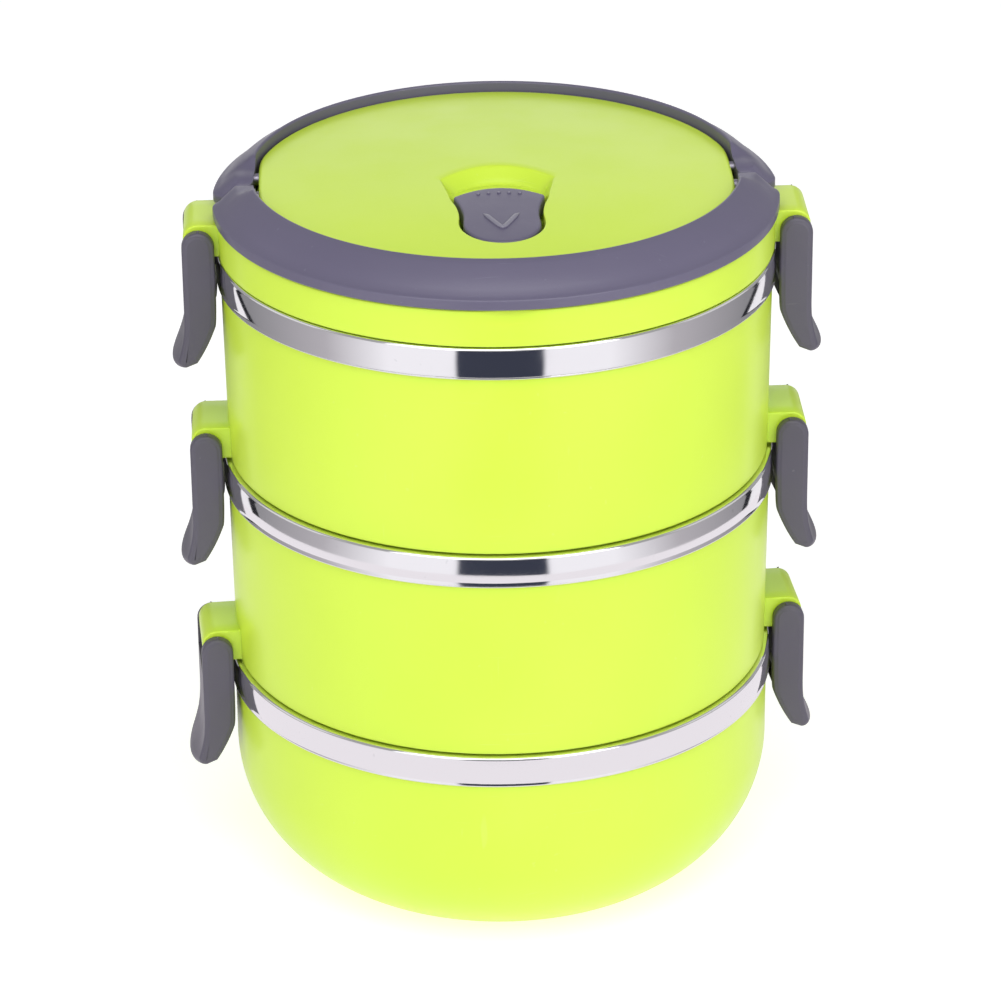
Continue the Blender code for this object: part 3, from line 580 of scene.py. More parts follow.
def upper_shell(level, base, turn):
    top = PITCH - STEEL - GAP
    lower = SHELL_RADIUS - SHELL_DRAFT
    edge = 0.75 * MM
    rounding = arc((lower - edge, GAP + edge), edge, 0, -90, 7)
    line = [
        (SHELL_RADIUS, top),
        (SHELL_RADIUS - 0.35 * SHELL_DRAFT, top * 0.65),
        (SHELL_RADIUS - 0.7 * SHELL_DRAFT, top * 0.3),
        *rounding,
        (lower - WALL + 0.3 * MM, GAP),
        (lower - WALL, GAP + 0.3 * MM),
        (SHELL_RADIUS - WALL, top),
    ]
    whole = joined(spun(line, closed=True), lug_pair(lower - WALL * 0.6))
    placed(whole, turn, (0.0, 0.0, base))
    shown(f"{level}_shell_moulding", whole, LIME, f"{level}_tier", [f"{level}_shell"])


def cover_line(outside):
    """A dish that plugs the bowl below, with a flange over the seal and a shallow pressed ring."""
    plug = BOWL_MOUTH - PLUG_PLAY
    flange = 2 * GAP + SEAL_TALL
    thick = 1.8 * MM
    top = flange + thick
    deep = -3.0 * MM
    inside = plug - thick
    return [
        (0.0, deep + thick),
        (inside - 0.6 * MM, deep + thick),
        (inside, deep + thick + 0.6 * MM),
        (inside, top),
        (outside, top),
        (outside, flange),
        (plug, flange),
        *arc((plug - 0.7 * MM, deep + 0.7 * MM), 0.7 * MM, 0, -90, 6),
        (plug - 7.0 * MM, deep),
        (plug - 7.6 * MM, deep + 0.5 * MM),
        (plug - 10.0 * MM, deep + 0.5 * MM),
        (plug - 10.6 * MM, deep),
        (0.0, deep),
    ]


def seal_line(outside):
    inside = BOWL_MOUTH - PLUG_PLAY + GAP
    top = GAP + SEAL_TALL
    bulge = 0.7 * MM
    return [
        *arc((inside + bulge, top - bulge), bulge, 180, 90, 5),
        *arc((outside - bulge, top - bulge), bulge, 90, 0, 5),
        (outside, GAP + 0.2 * MM),
        (outside - 0.2 * MM, GAP),
        (inside + 0.2 * MM, GAP),
        (inside, GAP + 0.2 * MM),
    ]


def tiers():
    corner = BELLY_ROUND - 2 * WALL - STEEL
    steel_bowl("bottom", 6.0 * MM, BOWL_MOUTH, BELLY_HEIGHT, corner, 32.0 * MM)
    bottom_shell()
    flange = SHELL_RADIUS - SHELL_DRAFT - WALL - GAP
    for level, base, turn in (("middle", SEATS[0], MIDDLE_TURN), ("top", SEATS[1], 0.0)):
        floor = base + 1.0 * MM
        steel_bowl(level, floor, BOWL_MOUTH - 1.6 * MM, floor + 12.0 * MM, 11.4 * MM, 46.0 * MM)
        upper_shell(level, base, turn)
        body = f"{level}_tier"
        cover = placed(spun(cover_line(flange)), 0.0, (0.0, 0.0, base))
        shown(f"{level}_base_dish", cover, LIME, body, [f"{level}_base_cover"])
        seal = placed(spun(seal_line(flange), closed=True), 0.0, (0.0, 0.0, base))
        shown(f"{level}_seal", seal, SILICONE, body, [f"{level}_seal_ring"])


# Lid


def dome(x, y):
    return PLATE_EDGE + DOME_RISE * (1.0 - (x * x + y * y) / PLATE_RADIUS**2)


BUTTON_REAR = -15.1 * MM
BUTTON_EAR = (11.6 * MM, -20.3 * MM)
BUTTON_MIDDLE = (0.0, -31.5 * MM)
BUTTON_LEVEL = PLATE_EDGE + 1.12 * MM
BUTTON_UNDER = BUTTON_LEVEL - 3.7 * MM
BUTTON_SINK = 0.3 * MM
SEAL_PLACE = (0.0, -24.0 * MM)
REST_CORNER = (14.7 * MM, -9.3 * MM)
REST_REAR = -0.3 * MM
REST_DEPTH = 3.3 * MM
POCKET_PLAY = 1.0 * MM
POCKET_FLOOR = BUTTON_LEVEL - 7.0 * MM
PLUG_LOW = POCKET_FLOOR + GAP
PLUG_TOP = PLUG_LOW + 1.3 * MM


def button_half():
    """Half of the button's outline from rear middle to front middle, in three named runs."""
    ear_x, ear_y = BUTTON_EAR
    sag = (BUTTON_REAR - ear_y) / ear_x**2
    end_x = ear_x * 0.92
    rear = [(end_x * step / 26, BUTTON_REAR - sag * (end_x * step / 26) ** 2) for step in range(26)]
    turn_in = (end_x, BUTTON_REAR - sag * end_x**2)
    turn_out = (11.0 * MM, -22.6 * MM)
    corner = bezier(turn_in, (11.5 * MM, -19.9 * MM), (11.7 * MM, -20.7 * MM), turn_out, 18)
    waist = (9.5 * MM, -32.0 * MM)
    lobe = (9.7 * MM, -37.0 * MM)
    lobe_length = 10.9 * MM
    sides = bezier(turn_out, (10.4 * MM, -24.8 * MM), (9.55 * MM, -28.6 * MM), waist, 12)
    sides += bezier(waist, (9.45 * MM, -33.8 * MM), (9.7 * MM, -35.2 * MM), lobe, 8)
    turns = [math.radians(90.0 * step / 30) for step in range(31)]
    front = [(lobe[0] * math.cos(turn), lobe[1] - lobe_length * math.sin(turn)) for turn in turns]
    return rear, corner, sides, front


def mirrored(half):
    """The full outline, clockwise from above, from a right half that starts and ends on the middle line."""
    return [*half, *[(-x, y) for x, y in reversed(half[1:-1])]]


def eased(value, soft=0.3):
    """A straight ramp from 0 to 1 with soft ends."""
    value = min(1.0, max(0.0, value))
    steep = 1.0 / (1.0 - soft)
    if value < soft:
        return steep * value * value / (2 * soft)
    if value > 1.0 - soft:
        return 1.0 - steep * (1.0 - value) ** 2 / (2 * soft)
    return steep * (value - soft / 2)


def rest_rear(x):
    return REST_REAR + (REST_CORNER[1] - REST_REAR) * (x / REST_CORNER[0]) ** 2


def rest_depth(x, y):
    """How far the finger rest behind the button lies below the dome, with a crease at its slope's foot."""
    x = abs(x)
    rear = (rest_rear(x) - y) / (5.0 * MM)
    side_x = REST_CORNER[0] + (12.4 * MM - REST_CORNER[0]) * (REST_CORNER[1] - y) / (13.6 * MM)
    side = (side_x - x) / (2.7 * MM)
    if rear <= 0.0 or side <= 0.0:
        return 0.0
    both = (rear**-3 + side**-3) ** (-1 / 3)
    ahead = min(1.0, max(0.0, (y + 26.0 * MM) / (3.0 * MM)))
    crease = 0.35 * MM * math.exp(-(((both - 1.0) / 0.2) ** 2))
    return (REST_DEPTH * eased(both, 0.16) + crease) * ahead * ahead * (3.0 - 2.0 * ahead)


def plate_reach(centre, point):
    """Where a line from the centre through the point meets the plate's outline: a circle with two flats."""
    dx, dy = point[0] - centre[0], point[1] - centre[1]
    size = math.hypot(dx, dy)
    dx, dy = dx / size, dy / size
    dot = centre[0] * dx + centre[1] * dy
    to_circle = -dot + math.sqrt(dot * dot - centre[0] ** 2 - centre[1] ** 2 + PLATE_RADIUS**2)
    to_flat = (FLAT_REACH - centre[0] * math.copysign(1.0, dx)) / max(abs(dx), 1e-6)
    crisp = 140.0
    ratio = to_circle / to_flat
    reach = to_circle * (1.0 + ratio**crisp) ** (-1.0 / crisp) if ratio < 1.2 else to_flat
    return centre[0] + dx * reach, centre[1] + dy * reach


def mixed(first, second, share):
    return [(a[0] + (b[0] - a[0]) * share, a[1] + (b[1] - a[1]) * share) for a, b in zip(first, second)]


def lid_plate():
    """The domed plate with the button's pocket and the finger rest, down to just below the deck."""
    rear, corner, sides, front = button_half()
    rear_steps = [REST_CORNER[0] * step / len(rear) for step in range(len(rear))]
    rim_half = [(x, rest_rear(x)) for x in rear_steps]
    outline = mirrored([*rear, *corner, *sides, *front])
    pocket = grown(outline, POCKET_PLAY)
    wide = grown(outline, POCKET_PLAY + 1.5 * MM)
    last = len(rear) + len(corner)
    meet = wide[last]
    for step in range(len(corner)):
        share = step / len(corner)
        x = REST_CORNER[0] + (meet[0] - REST_CORNER[0]) * share
        rim_half.append((x, REST_CORNER[1] + (meet[1] - REST_CORNER[1]) * share))
    half_count = len(rear) + len(corner) + len(sides) + len(front)
    rim_half += wide[last:half_count]
    rim = mirrored(rim_half)
    edge = [plate_reach(SEAL_PLACE, point) for point in rim]

    def flat(points, height):
        return [(x, y, height) for x, y in points]

    def topped(points, sink=0.0):
        return [(x, y, dome(x, y) - rest_depth(x, y) - sink) for x, y in points]

    middle = [(0.0, -32.0 * MM)] * len(pocket)
    loops = [flat(mixed(pocket, middle, 0.96), POCKET_FLOOR), flat(mixed(pocket, middle, 0.5), POCKET_FLOOR)]
    loops.append(flat(mixed(pocket, middle, 0.02), POCKET_FLOOR))
    loops.append([(x, y, POCKET_FLOOR + 0.3 * MM) for x, y in pocket])
    fillet = 0.35 * MM
    loops.append(topped(pocket, fillet))
    for angle in (25, 50, 75, 90):
        share = math.radians(angle)
        loops.append(topped(grown(pocket, fillet * (1 - math.cos(share))), fillet * (1 - math.sin(share))))
    start = grown(pocket, fillet)
    for step in range(1, 31):
        loops.append(topped(mixed(start, rim, step / 30)))
    round_edge = 0.9 * MM
    shrunk = grown(edge, -round_edge)
    for step in range(1, 17):
        loops.append(topped(mixed(rim, shrunk, (step / 16) ** 1.15)))
    for angle in (15, 30, 45, 60, 75, 90):
        share = math.radians(angle)
        ring = grown(edge, -round_edge * (1 - math.sin(share)))
        loops.append(topped(ring, round_edge * (1 - math.cos(share))))
    for height in (DECK + 0.7 * MM, DECK - 0.5 * MM):
        loops.append(flat(edge, height))
    loops.append(flat(mixed(edge, middle, 0.4), DECK - 0.5 * MM))
    return drawn(loops)


def deck_height(x, y):
    """The deck, with shallow hollows where the handles' round ends swing."""
    off = abs(abs(y) - HINGE_OFFSET)
    room = HANDLE_END + GAP
    if abs(x) < FLAT_REACH - 0.4 * MM or off >= room:
        return DECK
    return min(DECK, HINGE_HEIGHT - math.sqrt(room * room - off * off))


def lid_skirt():
    """The lid's outer ring, with a thumb scoop at front and rear."""
    low = LID_SEAT + GAP
    deck_under = DECK - 2.2 * MM
    half_width, tall, deep = 8.5 * MM, 4.2 * MM, 0.8 * MM
    deck_rings = [DECK_INNER, 60.6 * MM, 62.0 * MM, 64.0 * MM, 66.0 * MM, 68.0 * MM, 69.6 * MM]
    edge = 0.45 * MM
    loops = []
    count = 360
    for turn_step in range(count + 1):
        angle = math.tau * (turn_step % count) / count
        c, s = math.cos(angle), math.sin(angle)
        across = abs(SKIRT_RADIUS * c)
        near = max(0.0, 1.0 - (across / half_width) ** 2)
        inset = deep * near * near
        loop = [(radius * c, radius * s, deck_height(radius * c, radius * s)) for radius in deck_rings]
        top = SKIRT_RADIUS - inset
        for turn in (90, 60, 30, 0):
            share = math.radians(turn)
            x, y = [(top - edge * (1 - math.cos(share))) * part for part in (c, s)]
            loop.append((x, y, deck_height(x, y) - edge * (1 - math.sin(share))))
        ledge = min(DECK, deck_height(SKIRT_RADIUS * c, SKIRT_RADIUS * s)) - edge
        line = []
        for step in range(1, 9):
            share = step / 8
            fall = 1.0 - share * share * (3.0 - 2.0 * share)
            line.append((SKIRT_RADIUS - inset * fall, ledge - (tall - edge) * share))
        line.append((SKIRT_RADIUS, low + 2.0 * MM))
        line += arc((SKIRT_RADIUS - edge, low + edge), edge, 0, -90, 4)
        line += [(SKIRT_RADIUS - WALL, low), (SKIRT_RADIUS - WALL, deck_under), (DECK_INNER, deck_under)]
        loop += [(radius * c, radius * s, height) for radius, height in line]
        loops.append(loop)
    return drawn(loops, caps=False)


def lid_cover():
    lugs = placed(lug_pair(SKIRT_RADIUS - 1.4 * MM), 0.0, (0.0, 0.0, LID_SEAT))
    whole = joined(lid_plate(), lid_skirt(), lugs)
    shown("lid_moulding", whole, LIME, "lid", ["lid_cover"])
    inside = SKIRT_RADIUS - WALL - GAP
    liner = placed(spun(cover_line(inside)), 0.0, (0.0, 0.0, LID_SEAT))
    shown("lid_liner_dish", liner, INNER_WHITE, "lid", ["lid_liner"])
    seal = placed(spun(seal_line(inside), closed=True), 0.0, (0.0, 0.0, LID_SEAT))
    shown("lid_seal", seal, SILICONE, "lid", ["lid_seal_ring"])


def swept_ridge(path, half_width, height):
    """A low rounded ridge along points on the button's top, its ends tapered."""
    loops = []
    count = len(path)
    for index, (x, y) in enumerate(path):
        before, after = path[max(0, index - 1)], path[min(count - 1, index + 1)]
        along = Vector((after[0] - before[0], after[1] - before[1])).normalized()
        side = Vector((-along.y, along.x))
        near_end = min(index, count - 1 - index)
        share = min(1.0, 0.25 + 0.25 * near_end)
        loop = []
        for step in range(10):
            angle = math.tau * step / 10
            out = half_width * share * math.cos(angle)
            up = height * share * math.sin(angle)
            px, py = x + side.x * out, y + side.y * out
            loop.append((px, py, dome(px, py) - 0.42 * MM + up))
        loops.append(loop)
    return drawn(loops)


def chevron():
    tip = (0.0, -40.8 * MM)
    arm = (4.4 * MM, -31.4 * MM)
    bend = 4.4 * MM
    slope = Vector((tip[0] - arm[0], tip[1] - arm[1])).normalized()
    turn = (tip[0] - slope.x * bend, tip[1] - slope.y * bend)
    shares = [step / 9 for step in range(9)]
    right = [(arm[0] + (turn[0] - arm[0]) * share, arm[1] + (turn[1] - arm[1]) * share) for share in shares]
    over = (-turn[0], turn[1])
    path = [*right, *bezier(turn, tip, tip, over, 8), over, *[(-x, y) for x, y in reversed(right)]]
    return swept_ridge(path, 0.8 * MM, 0.75 * MM)


def grip_dot(place):
    """One of the low dots in a row behind the chevron, counted from the middle one."""
    x, y = place * 2.6 * MM, -18.9 * MM - 0.12 * MM * place**2
    dot = bmesh.new()
    bmesh.ops.create_uvsphere(dot, u_segments=12, v_segments=8, radius=0.5 * MM)
    bmesh.ops.scale(dot, verts=dot.verts, vec=(1.0, 1.0, 0.7))
    bmesh.ops.translate(dot, verts=dot.verts, vec=(x, y, dome(x, y) - BUTTON_SINK + 0.08 * MM))
    return dot


def vent_button():
    """The rocking button: rounded edge, a raised chevron, a row of grip dots, and the stem of its seal."""
    rear, corner, sides, front = button_half()
    outline = mirrored([*rear, *corner, *sides, *front])
    middle = [BUTTON_MIDDLE] * len(outline)
    edge = 0.6 * MM

    def topped(points, extra):
        return [(x, y, dome(x, y) - BUTTON_SINK - extra) for x, y in points]

    slant = 0.8 * MM
    loops = [[(x, y, BUTTON_UNDER) for x, y in mixed(outline, middle, 0.9)]]
    loops.append([(x, y, BUTTON_UNDER) for x, y in grown(outline, -slant)])
    loops.append([(x, y, BUTTON_UNDER + slant) for x, y in outline])
    for angle in (0, 18, 36, 54, 72, 90):
        share = math.radians(angle)
        loops.append(topped(grown(outline, -edge * (1 - math.cos(share))), edge * (1 - math.sin(share))))
    inner = grown(outline, -edge)
    for share in (0.04, 0.1, 0.2, 0.35, 0.5, 0.65, 0.8, 0.92):
        loops.append(topped(mixed(inner, middle, share), 0.0))
    marks = joined(chevron(), *[grip_dot(place) for place in range(-2, 3)])
    marks.normal_update()
    # The chevron's and dots' faces that point up take the lighter grey, a painted highlight; the others keep
    # the handle grey.
    for face in marks.faces:
        face.material_index = int(face.normal.z > 0.78)
    stem_radius = 1.2 * MM
    stem_low, stem_top = PLUG_TOP + GAP, BUTTON_UNDER + 1.0 * MM
    line = [(0.0, stem_low), (stem_radius, stem_low), (stem_radius, stem_top), (0.0, stem_top)]
    whole = joined(drawn(loops), marks, spun(line, False, 24, SEAL_PLACE))
    shown("vent_rocker_button", whole, [HANDLE_GREY, PAINTED_HIGHLIGHT_GREY], "vent", ["vent_button"])


def vent_plug():
    """The silicone plug on the button's stem, with a nose that enters the vent hole."""
    wide = 3.2 * MM
    nose = PLUG_LOW - 1.1 * MM
    line = [(0.0, PLUG_TOP), (2.5 * MM, PLUG_TOP), (3.0 * MM, PLUG_TOP - 0.25 * MM)]
    line += [(wide, PLUG_TOP - 0.7 * MM), (wide, PLUG_LOW), (1.5 * MM, PLUG_LOW)]
    line += [(1.2 * MM, nose + 0.2 * MM), (0.9 * MM, nose), (0.0, nose)]
    shown("vent_plug", spun(line, False, 32, SEAL_PLACE), SILICONE, "vent", ["vent_seal"])


def handle_line():
    """A handle's section, (radius, height) from the lid's seat, clockwise from the ridge."""
    top, shoulder, low = 20.1 * MM, 13.1 * MM, 10.2 * MM
    ridge, brow, toe, heel = 0.6 * MM, 0.55 * MM, 0.6 * MM, 0.5 * MM
    return [
        *arc((HANDLE_INNER + ridge, top - ridge), ridge, 180, 70, 6),
        (HANDLE_INNER + 2.2 * MM, top - 1.05 * MM),
        (HANDLE_INNER + 4.8 * MM, top - 2.75 * MM),
        (HANDLE_OUTER - 2.5 * MM, shoulder + 1.75 * MM),
        (HANDLE_OUTER - 1.35 * MM, shoulder + 0.55 * MM),
        *arc((HANDLE_OUTER - brow, shoulder - brow), brow, 75, 0, 6),
        *arc((HANDLE_OUTER - toe, low + toe), toe, 0, -90, 5),
        *arc((HANDLE_INNER + heel, low + heel), heel, 270, 180, 4),
    ]


def crest_room(past):
    """How high above its pin a handle's end may stand: lower towards the end, then round to nothing."""
    high, low = 4.7 * MM, 2.2 * MM
    if past < 0.0:
        return low + (high - low) * eased(min(1.0, -past / (8.0 * MM)), 0.45)
    return low * math.sqrt(max(1e-6, 1.0 - (past / HANDLE_END) ** 2.5))


def handle(side):
    """Half a ring, thick in section, with ends rounded about their pins. side is -1 for the front one."""
    line = handle_line()
    pivot = HINGE_HEIGHT - LID_SEAT
    tip = HINGE_OFFSET - HANDLE_END
    turns = (89.5, 88, 86, 83, 80, 76, 72, 67, 61, 54, 46, 37, 28, 19, 10, 0)
    starts = [(HINGE_OFFSET - HANDLE_END * math.sin(math.radians(turn)), 0.0) for turn in turns]
    starts += [(HINGE_OFFSET + step * 1.25 * MM, min(1.0, step / 9.0)) for step in range(1, 12)]
    places = [(math.asin(y / HANDLE_OUTER), ring_like) for y, ring_like in starts]
    first = places[-1][0]
    steps = 84
    middle = [(first + (math.pi - 2 * first) * step / steps, 1.0) for step in range(1, steps)]
    places += [*middle, *[(math.pi - angle, ring_like) for angle, ring_like in reversed(places)]]
    corner, end_round = 1.7 * MM, 5.8 * MM
    loops = []
    for angle, ring_like in places:
        outer_y = HANDLE_OUTER * math.sin(angle)
        reach = outer_y - tip
        inner = HANDLE_INNER - 0.6 * MM * (1.0 - eased(ring_like))
        if reach < corner:
            inner += corner - math.sqrt(max(0.0, corner**2 - (corner - reach) ** 2))
        limit = HANDLE_OUTER
        if reach < end_round:
            limit -= end_round - math.sqrt(max(0.0, end_round**2 - (end_round - reach) ** 2))
        past = HINGE_OFFSET - outer_y
        room = math.sqrt(max(1e-9, HANDLE_END**2 - past * past)) if past > 0 else 1.0
        crest = min(room, crest_room(past))
        loop = []
        for radius, height in line:
            share = (radius - HANDLE_INNER) / (HANDLE_OUTER - HANDLE_INNER)
            radius = inner + share * (limit - inner)
            y_ring = radius * math.sin(angle)
            y = outer_y + (y_ring - outer_y) * eased(ring_like)
            x = math.copysign(math.sqrt(max(0.0, radius * radius - y * y)), math.cos(angle))
            height = pivot + max(-room, min(crest, height - pivot))
            loop.append((x, side * y, LID_SEAT + height))
        loops.append(loop)
    return drawn(loops)


def handles():
    for name, side in (("front", -1), ("rear", 1)):
        bm = handle(side)
        shown(f"{name}_handle_ring", bm, HANDLE_GREY, f"{name}_handle", [f"handle_{name}"])
        for hand in ("right", "left"):
            node = f"handle_pin_{name}_{hand}"
            low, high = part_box(node)
            length = high.x - low.x
            radius = (high.z - low.z) / 2
            ease = 0.25 * MM
            line = [(0.0, 0.0), (radius - ease, 0.0), (radius, ease)]
            line += [(radius, length - ease), (radius - ease, length), (0.0, length)]
            pin = spun(line, False, 32)
            lying = Matrix.Rotation(math.pi / 2, 3, "Y")
            bmesh.ops.rotate(pin, verts=pin.verts, cent=(0.0, 0.0, 0.0), matrix=lying)
            bmesh.ops.translate(pin, verts=pin.verts, vec=(low.x, side * HINGE_OFFSET, HINGE_HEIGHT))
            shown(f"{name}_{hand}_pin", pin, PIN_STEEL, "lid", [node])


# Clips


CLIP_HALF = 12.0 * MM
CLIP_EAR = 4.15 * MM
CLIP_FOOT = -32.6 * MM
CLIP_WALL = 2.0 * MM
CHANNEL_HALF = 9.3 * MM


def clip_outline(full):
    """The clip's side outline, (outwards, up) from its pivot; full is 1 in the middle and 0 at its sides."""
    flare = 3.7 * MM * (0.4 + 0.6 * full)
    foot = CLIP_FOOT - 2.6 * MM * full
    tip_round = 1.75 * MM
    tip_centre = (CLIP_EAR + flare - tip_round + 0.06 * MM, foot + tip_round + 0.15 * MM)
    sweep_end = (tip_centre[0] + tip_round * 0.985, tip_centre[1] + 0.33 * MM)
    sweep_pull = (CLIP_EAR + flare * 0.32, foot * 0.81)
    heel = (tip_centre[0] - 3.0 * MM, foot + 1.3 * MM)
    heel_pull = (heel[0] - 2.2 * MM, heel[1] + 3.2 * MM)
    back = -CLIP_EAR
    waist = (back + 0.35 * MM, -21.6 * MM)
    back_end = (back, -12.0 * MM)
    return [
        *arc((0.0, 0.0), CLIP_EAR, 180, 0, 22),
        *bezier((CLIP_EAR, foot * 0.55), (CLIP_EAR, foot * 0.73), sweep_pull, sweep_end, 14),
        *arc(tip_centre, tip_round, 10, -100, 10),
        *bezier(heel, heel_pull, (back + 1.5 * MM, -24.8 * MM), waist, 9),
        *bezier(waist, (back + 0.1 * MM, -20.6 * MM), (back, -17.0 * MM), back_end, 6),
        back_end,
        (back, -6.0 * MM),
    ]


def clip_body():
    """The clip as one solid, before its channel is cut: eased at both sides and swelling into a thumb tab."""
    ease, step_in = 0.8 * MM, 0.2 * MM
    stations = [(CLIP_HALF, 1.45 * MM), (CLIP_HALF - 0.02 * MM, 1.2 * MM), (CLIP_HALF - step_in, 0.95 * MM)]
    for angle in (90, 72, 54, 36, 18, 0):
        share = math.radians(angle)
        stations.append((CLIP_HALF - step_in - ease * (1 - math.sin(share)), ease * (1 - math.cos(share))))
    stations += [(y * MM, 0.0) for y in (10.4, 9.6, 8.6, 7.4, 6.0, 4.5, 3.0, 1.5)]
    stations = [*stations, (0.0, 0.0), *[(-y, inset) for y, inset in reversed(stations)]]
    loops = []
    for y, inset in stations:
        full = 1.0 - min(1.0, abs(y) / CLIP_HALF) ** 2
        loops.append([(x, y, z) for x, z in grown(clip_outline(full), -inset)])
    return drawn(loops)


def clip_channel():
    """The slot between the ears, with room above and below the hook that catches the band."""
    far = 9.0 * MM
    wall = CLIP_EAR - CLIP_WALL
    hook_tip = BAND_RADIUS + GAP - PIVOT_REACH
    hook_top = -(PIVOT_RISE + BAND_TALL + GAP)
    hook_foot = hook_top - 2.6 * MM
    floor = CLIP_FOOT + 7.2 * MM
    wall_top = -6.9 * MM
    outline = [(-far, far), (far, far), (far, wall_top), (wall + 0.9 * MM, wall_top)]
    outline += [(wall + 0.35 * MM, wall_top - 0.15 * MM), (wall, wall_top - 0.6 * MM)]
    outline += [(wall, hook_top + 0.8 * MM), (wall - 0.25 * MM, hook_top + 0.2 * MM)]
    outline += [(wall - 0.8 * MM, hook_top), (hook_tip + 0.3 * MM, hook_top)]
    outline += [(hook_tip, hook_top - 0.4 * MM), (hook_tip, hook_foot + 0.4 * MM)]
    outline += [(hook_tip + 0.3 * MM, hook_foot), (wall, hook_foot), (wall, floor), (-far, floor)]
    return drawn([[(x, y, z) for x, z in outline] for y in (-CHANNEL_HALF, CHANNEL_HALF)])


def nub(side, lean):
    """A torn stub of plastic where the moulding gate was, on top of one of a clip's ears."""
    bm = bmesh.new()
    tall, root = 0.5 * MM, 0.5 * MM
    made = bmesh.ops.create_cone(
        bm, cap_ends=True, segments=10, radius1=0.55 * MM, radius2=0.2 * MM, depth=tall + root
    )
    for corner in made["verts"]:
        share = corner.co.z / tall + 0.5
        corner.co.x += lean * share * share * MM
        corner.co.y += 0.3 * lean * share * MM
    height = CLIP_EAR - 0.05 * MM + (tall - root) / 2
    bmesh.ops.translate(bm, verts=bm.verts, vec=(0.3 * side * MM, side * (CHANNEL_HALF + 1.4 * MM), height))
    return bm


def clips():
    levels = (("lid", SEATS[2], 0.0), ("top", SEATS[1], 0.0), ("middle", SEATS[0], MIDDLE_TURN))
    for level, seat, level_turn in levels:
        for hand, half_turn, lean in (("right", 0.0, 0.25), ("left", math.pi, -0.3)):
            turn = level_turn + half_turn
            place = Matrix.Rotation(turn, 3, "Z") @ Vector((PIVOT_REACH, 0.0, seat + PIVOT_RISE))
            name, body = f"{level}_{hand}_side_clip", f"{level}_{hand}_clip"
            made = shown(name, clip_body(), CLIP_GREY, body, [f"{level}_clip_{hand}"])
            carve(made, clip_channel())
            carved = bmesh.new()
            carved.from_mesh(made.data)
            whole = placed(joined(carved, nub(-1, -lean), nub(1, lean)), turn, place)
            whole.to_mesh(made.data)
            whole.free()
            shade(made.data)


tiers()
lid_cover()
vent_button()
vent_plug()
handles()
clips()


# Studio


def floor_finish():
    made, tree, shader, place = new_finish("pale_floor")
    tone = noise(tree, place, 3.0, 3.0)
    feed(shader, "Base Color", blended(tree, tone, (0.70, 0.70, 0.70), (0.72, 0.72, 0.72)))
    feed(shader, "Roughness", 0.9)
    feed(shader, "Emission Color", (1.0, 1.0, 1.0, 1.0))
    feed(shader, "Emission Strength", 0.60)
    return made


def glowing(name, strength):
    """A material that only glows, with its tree and the socket of its colour."""
    made = bpy.data.materials.new(name)
    made.use_nodes = True
    tree = made.node_tree
    tree.nodes.clear()
    emission = tree.nodes.new("ShaderNodeEmission")
    feed(emission, "Color", (1.0, 1.0, 1.0, 1.0))
    feed(emission, "Strength", strength)
    output = tree.nodes.new("ShaderNodeOutputMaterial")
    feed(output, "Surface", emission.outputs[0])
    return made, tree, emission.inputs["Color"]


def surround_finish():
    """What the bands mirror further out on the floor: dark in front, then white, then greyer round the sides.

    A slanted black line and a white strip cross it at each side; it is white behind and pinkish close in.
    """
    made, tree, colour = glowing("surround", 1.0)
    dark, black = (0.045, 0.05, 0.075), (0.02, 0.02, 0.025)
    white, strip_white, pinkish = (1.0, 0.98, 1.02), (0.95, 0.93, 0.96), (0.93, 0.885, 0.925)
    grey, deep_grey = (0.50, 0.475, 0.505), (0.28, 0.275, 0.29)
    line_half, strip_reach, rear_from, near_radius = 0.048, 0.33, 2.7, 0.27
    place = tree.nodes.new("ShaderNodeTexCoord").outputs["Object"]
    split = tree.nodes.new("ShaderNodeSeparateXYZ")
    feed(split, 0, place)
    x, y, _ = split.outputs
    round_angle = maths(tree, "ARCTAN2", x, maths(tree, "MULTIPLY", y, -1.0))
    off = maths(tree, "ABSOLUTE", maths(tree, "SUBTRACT", round_angle, math.radians(-1.4)))
    ramp = tree.nodes.new("ShaderNodeValToRGB")
    feed(ramp, 0, maths(tree, "DIVIDE", off, math.pi))
    line = ramp.color_ramp.elements
    line[0].position, line[0].color = 0.0, (*dark, 1.0)
    line[1].position, line[1].color = 1.0, (*deep_grey, 1.0)
    for angle, tone in ((15.6, dark), (17.0, white), (42.0, white), (70.0, grey), (113.0, deep_grey)):
        line.new(angle / 180.0).color = (*tone, 1.0)
    reach = maths(tree, "MULTIPLY_ADD", x, x, maths(tree, "MULTIPLY", y, y))
    edge = maths(tree, "MULTIPLY_ADD", maths(tree, "SQRT", reach), 0.874, 1.689)
    past = maths(tree, "GREATER_THAN", off, maths(tree, "ADD", edge, line_half))
    strip = maths(tree, "LESS_THAN", off, maths(tree, "ADD", edge, strip_reach))
    rear = maths(tree, "GREATER_THAN", off, rear_from)
    beyond = maths(tree, "MAXIMUM", rear, maths(tree, "MULTIPLY", past, strip))
    thin = maths(tree, "GREATER_THAN", off, maths(tree, "SUBTRACT", edge, line_half))
    tone = blended(tree, beyond, ramp.outputs[0], strip_white)
    tone = blended(tree, maths(tree, "SUBTRACT", thin, past), tone, black)
    near = maths(tree, "LESS_THAN", reach, near_radius**2)
    tree.links.new(blended(tree, near, tone, pinkish), colour)
    return made


def mirrored_only(made):
    """Keeps a card out of everything but what shiny surfaces mirror."""
    made.visible_camera = False
    made.visible_diffuse = False
    made.visible_transmission = False
    made.visible_shadow = False


def card(name, bm, material):
    """A piece of the studio, which is not part of the carrier."""
    made = added(name, mesh_of(name, bm))
    made.data.materials.append(material)
    return made


def sheet(width, height):
    bm = bmesh.new()
    bmesh.ops.create_grid(bm, x_segments=1, y_segments=1, size=0.5)
    bmesh.ops.scale(bm, verts=bm.verts, vec=(width, height, 1.0))
    return bm


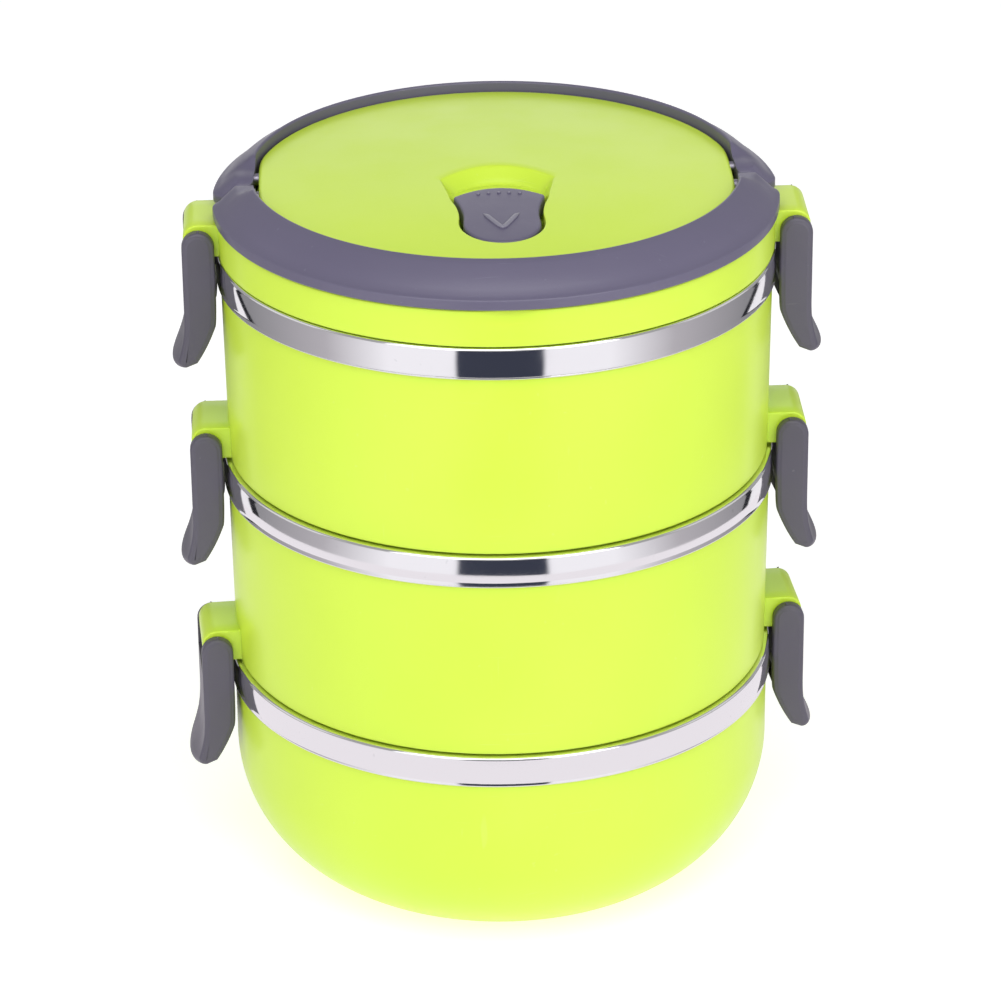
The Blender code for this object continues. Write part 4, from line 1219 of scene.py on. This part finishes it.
def lamp_at(name, place, aim_height, width, height, power):
    """A soft rectangular light aimed at the carrier's axis."""
    data = bpy.data.lights.new(name, "AREA")
    data.shape = "RECTANGLE"
    data.size = width
    data.size_y = height
    data.energy = power
    lamp = added(name, data)
    lamp.location = place
    aim = Vector((0.0, 0.0, aim_height))
    lamp.rotation_euler = (aim - lamp.location).to_track_quat("-Z", "Y").to_euler()


def lights():
    world = bpy.data.worlds.new("studio")
    bpy.context.scene.world = world
    world.use_nodes = True
    back = world.node_tree.nodes["Background"]
    feed(back, "Color", (1.0, 1.0, 1.0, 1.0))
    feed(back, "Strength", 0.40)
    lamp_at("left_box", (-0.75, -1.25, 0.65), 0.1, 0.8, 1.0, 2.8)
    lamp_at("right_box", (0.75, -1.25, 0.65), 0.1, 0.8, 1.0, 4.9)
    lamp_at("left_fill", (-1.2, 0.1, 0.55), 0.1, 0.9, 0.9, 1.0)
    lamp_at("right_fill", (1.2, 0.1, 0.55), 0.1, 0.9, 0.9, 0.8)
    lamp_at("top_box", (0.0, -0.45, 0.75), 0.15, 0.9, 0.5, 3.1)


def cards():
    card("floor", sheet(6.0, 6.0), floor_finish())
    ring = spun([(0.06, 1.0 * MM), (2.6, 1.0 * MM)], False, 96)
    mirrored_only(card("surround", ring, surround_finish()))
    back_card = card("back_card", sheet(0.95, 1.0), glowing("back_glow", 1.2)[0])
    back_card.location = (0.0, 1.7, 0.55)
    aim = Vector((0.0, 0.0, 0.1))
    back_card.rotation_euler = (aim - back_card.location).to_track_quat("Z", "Y").to_euler()
    mirrored_only(back_card)


def camera():
    scene = bpy.context.scene
    data = bpy.data.cameras.new("camera")
    made = added("camera", data)
    scene.camera = made
    data.sensor_width = 36.0
    data.lens = 158.4
    data.shift_x = 0.0015
    data.clip_start = 0.01
    data.clip_end = 20.0
    aim = Vector((0.0, 0.0, 0.0987))
    distance, tilt = 1.1628, -0.0107
    rise, side = math.radians(25.3), math.radians(-2.4)
    away = Vector((math.sin(side) * math.cos(rise), -math.cos(side) * math.cos(rise), math.sin(rise)))
    made.location = aim + away * distance
    look = (aim - made.location).to_track_quat("-Z", "Y").to_matrix()
    made.rotation_euler = (look @ Matrix.Rotation(tilt, 3, "Z")).to_euler()
    scene.view_settings.view_transform = "Standard"
    scene.view_settings.look = "None"
    scene.view_settings.exposure = 0.0
    scene.view_settings.gamma = 1.0


cards()
lights()
camera()
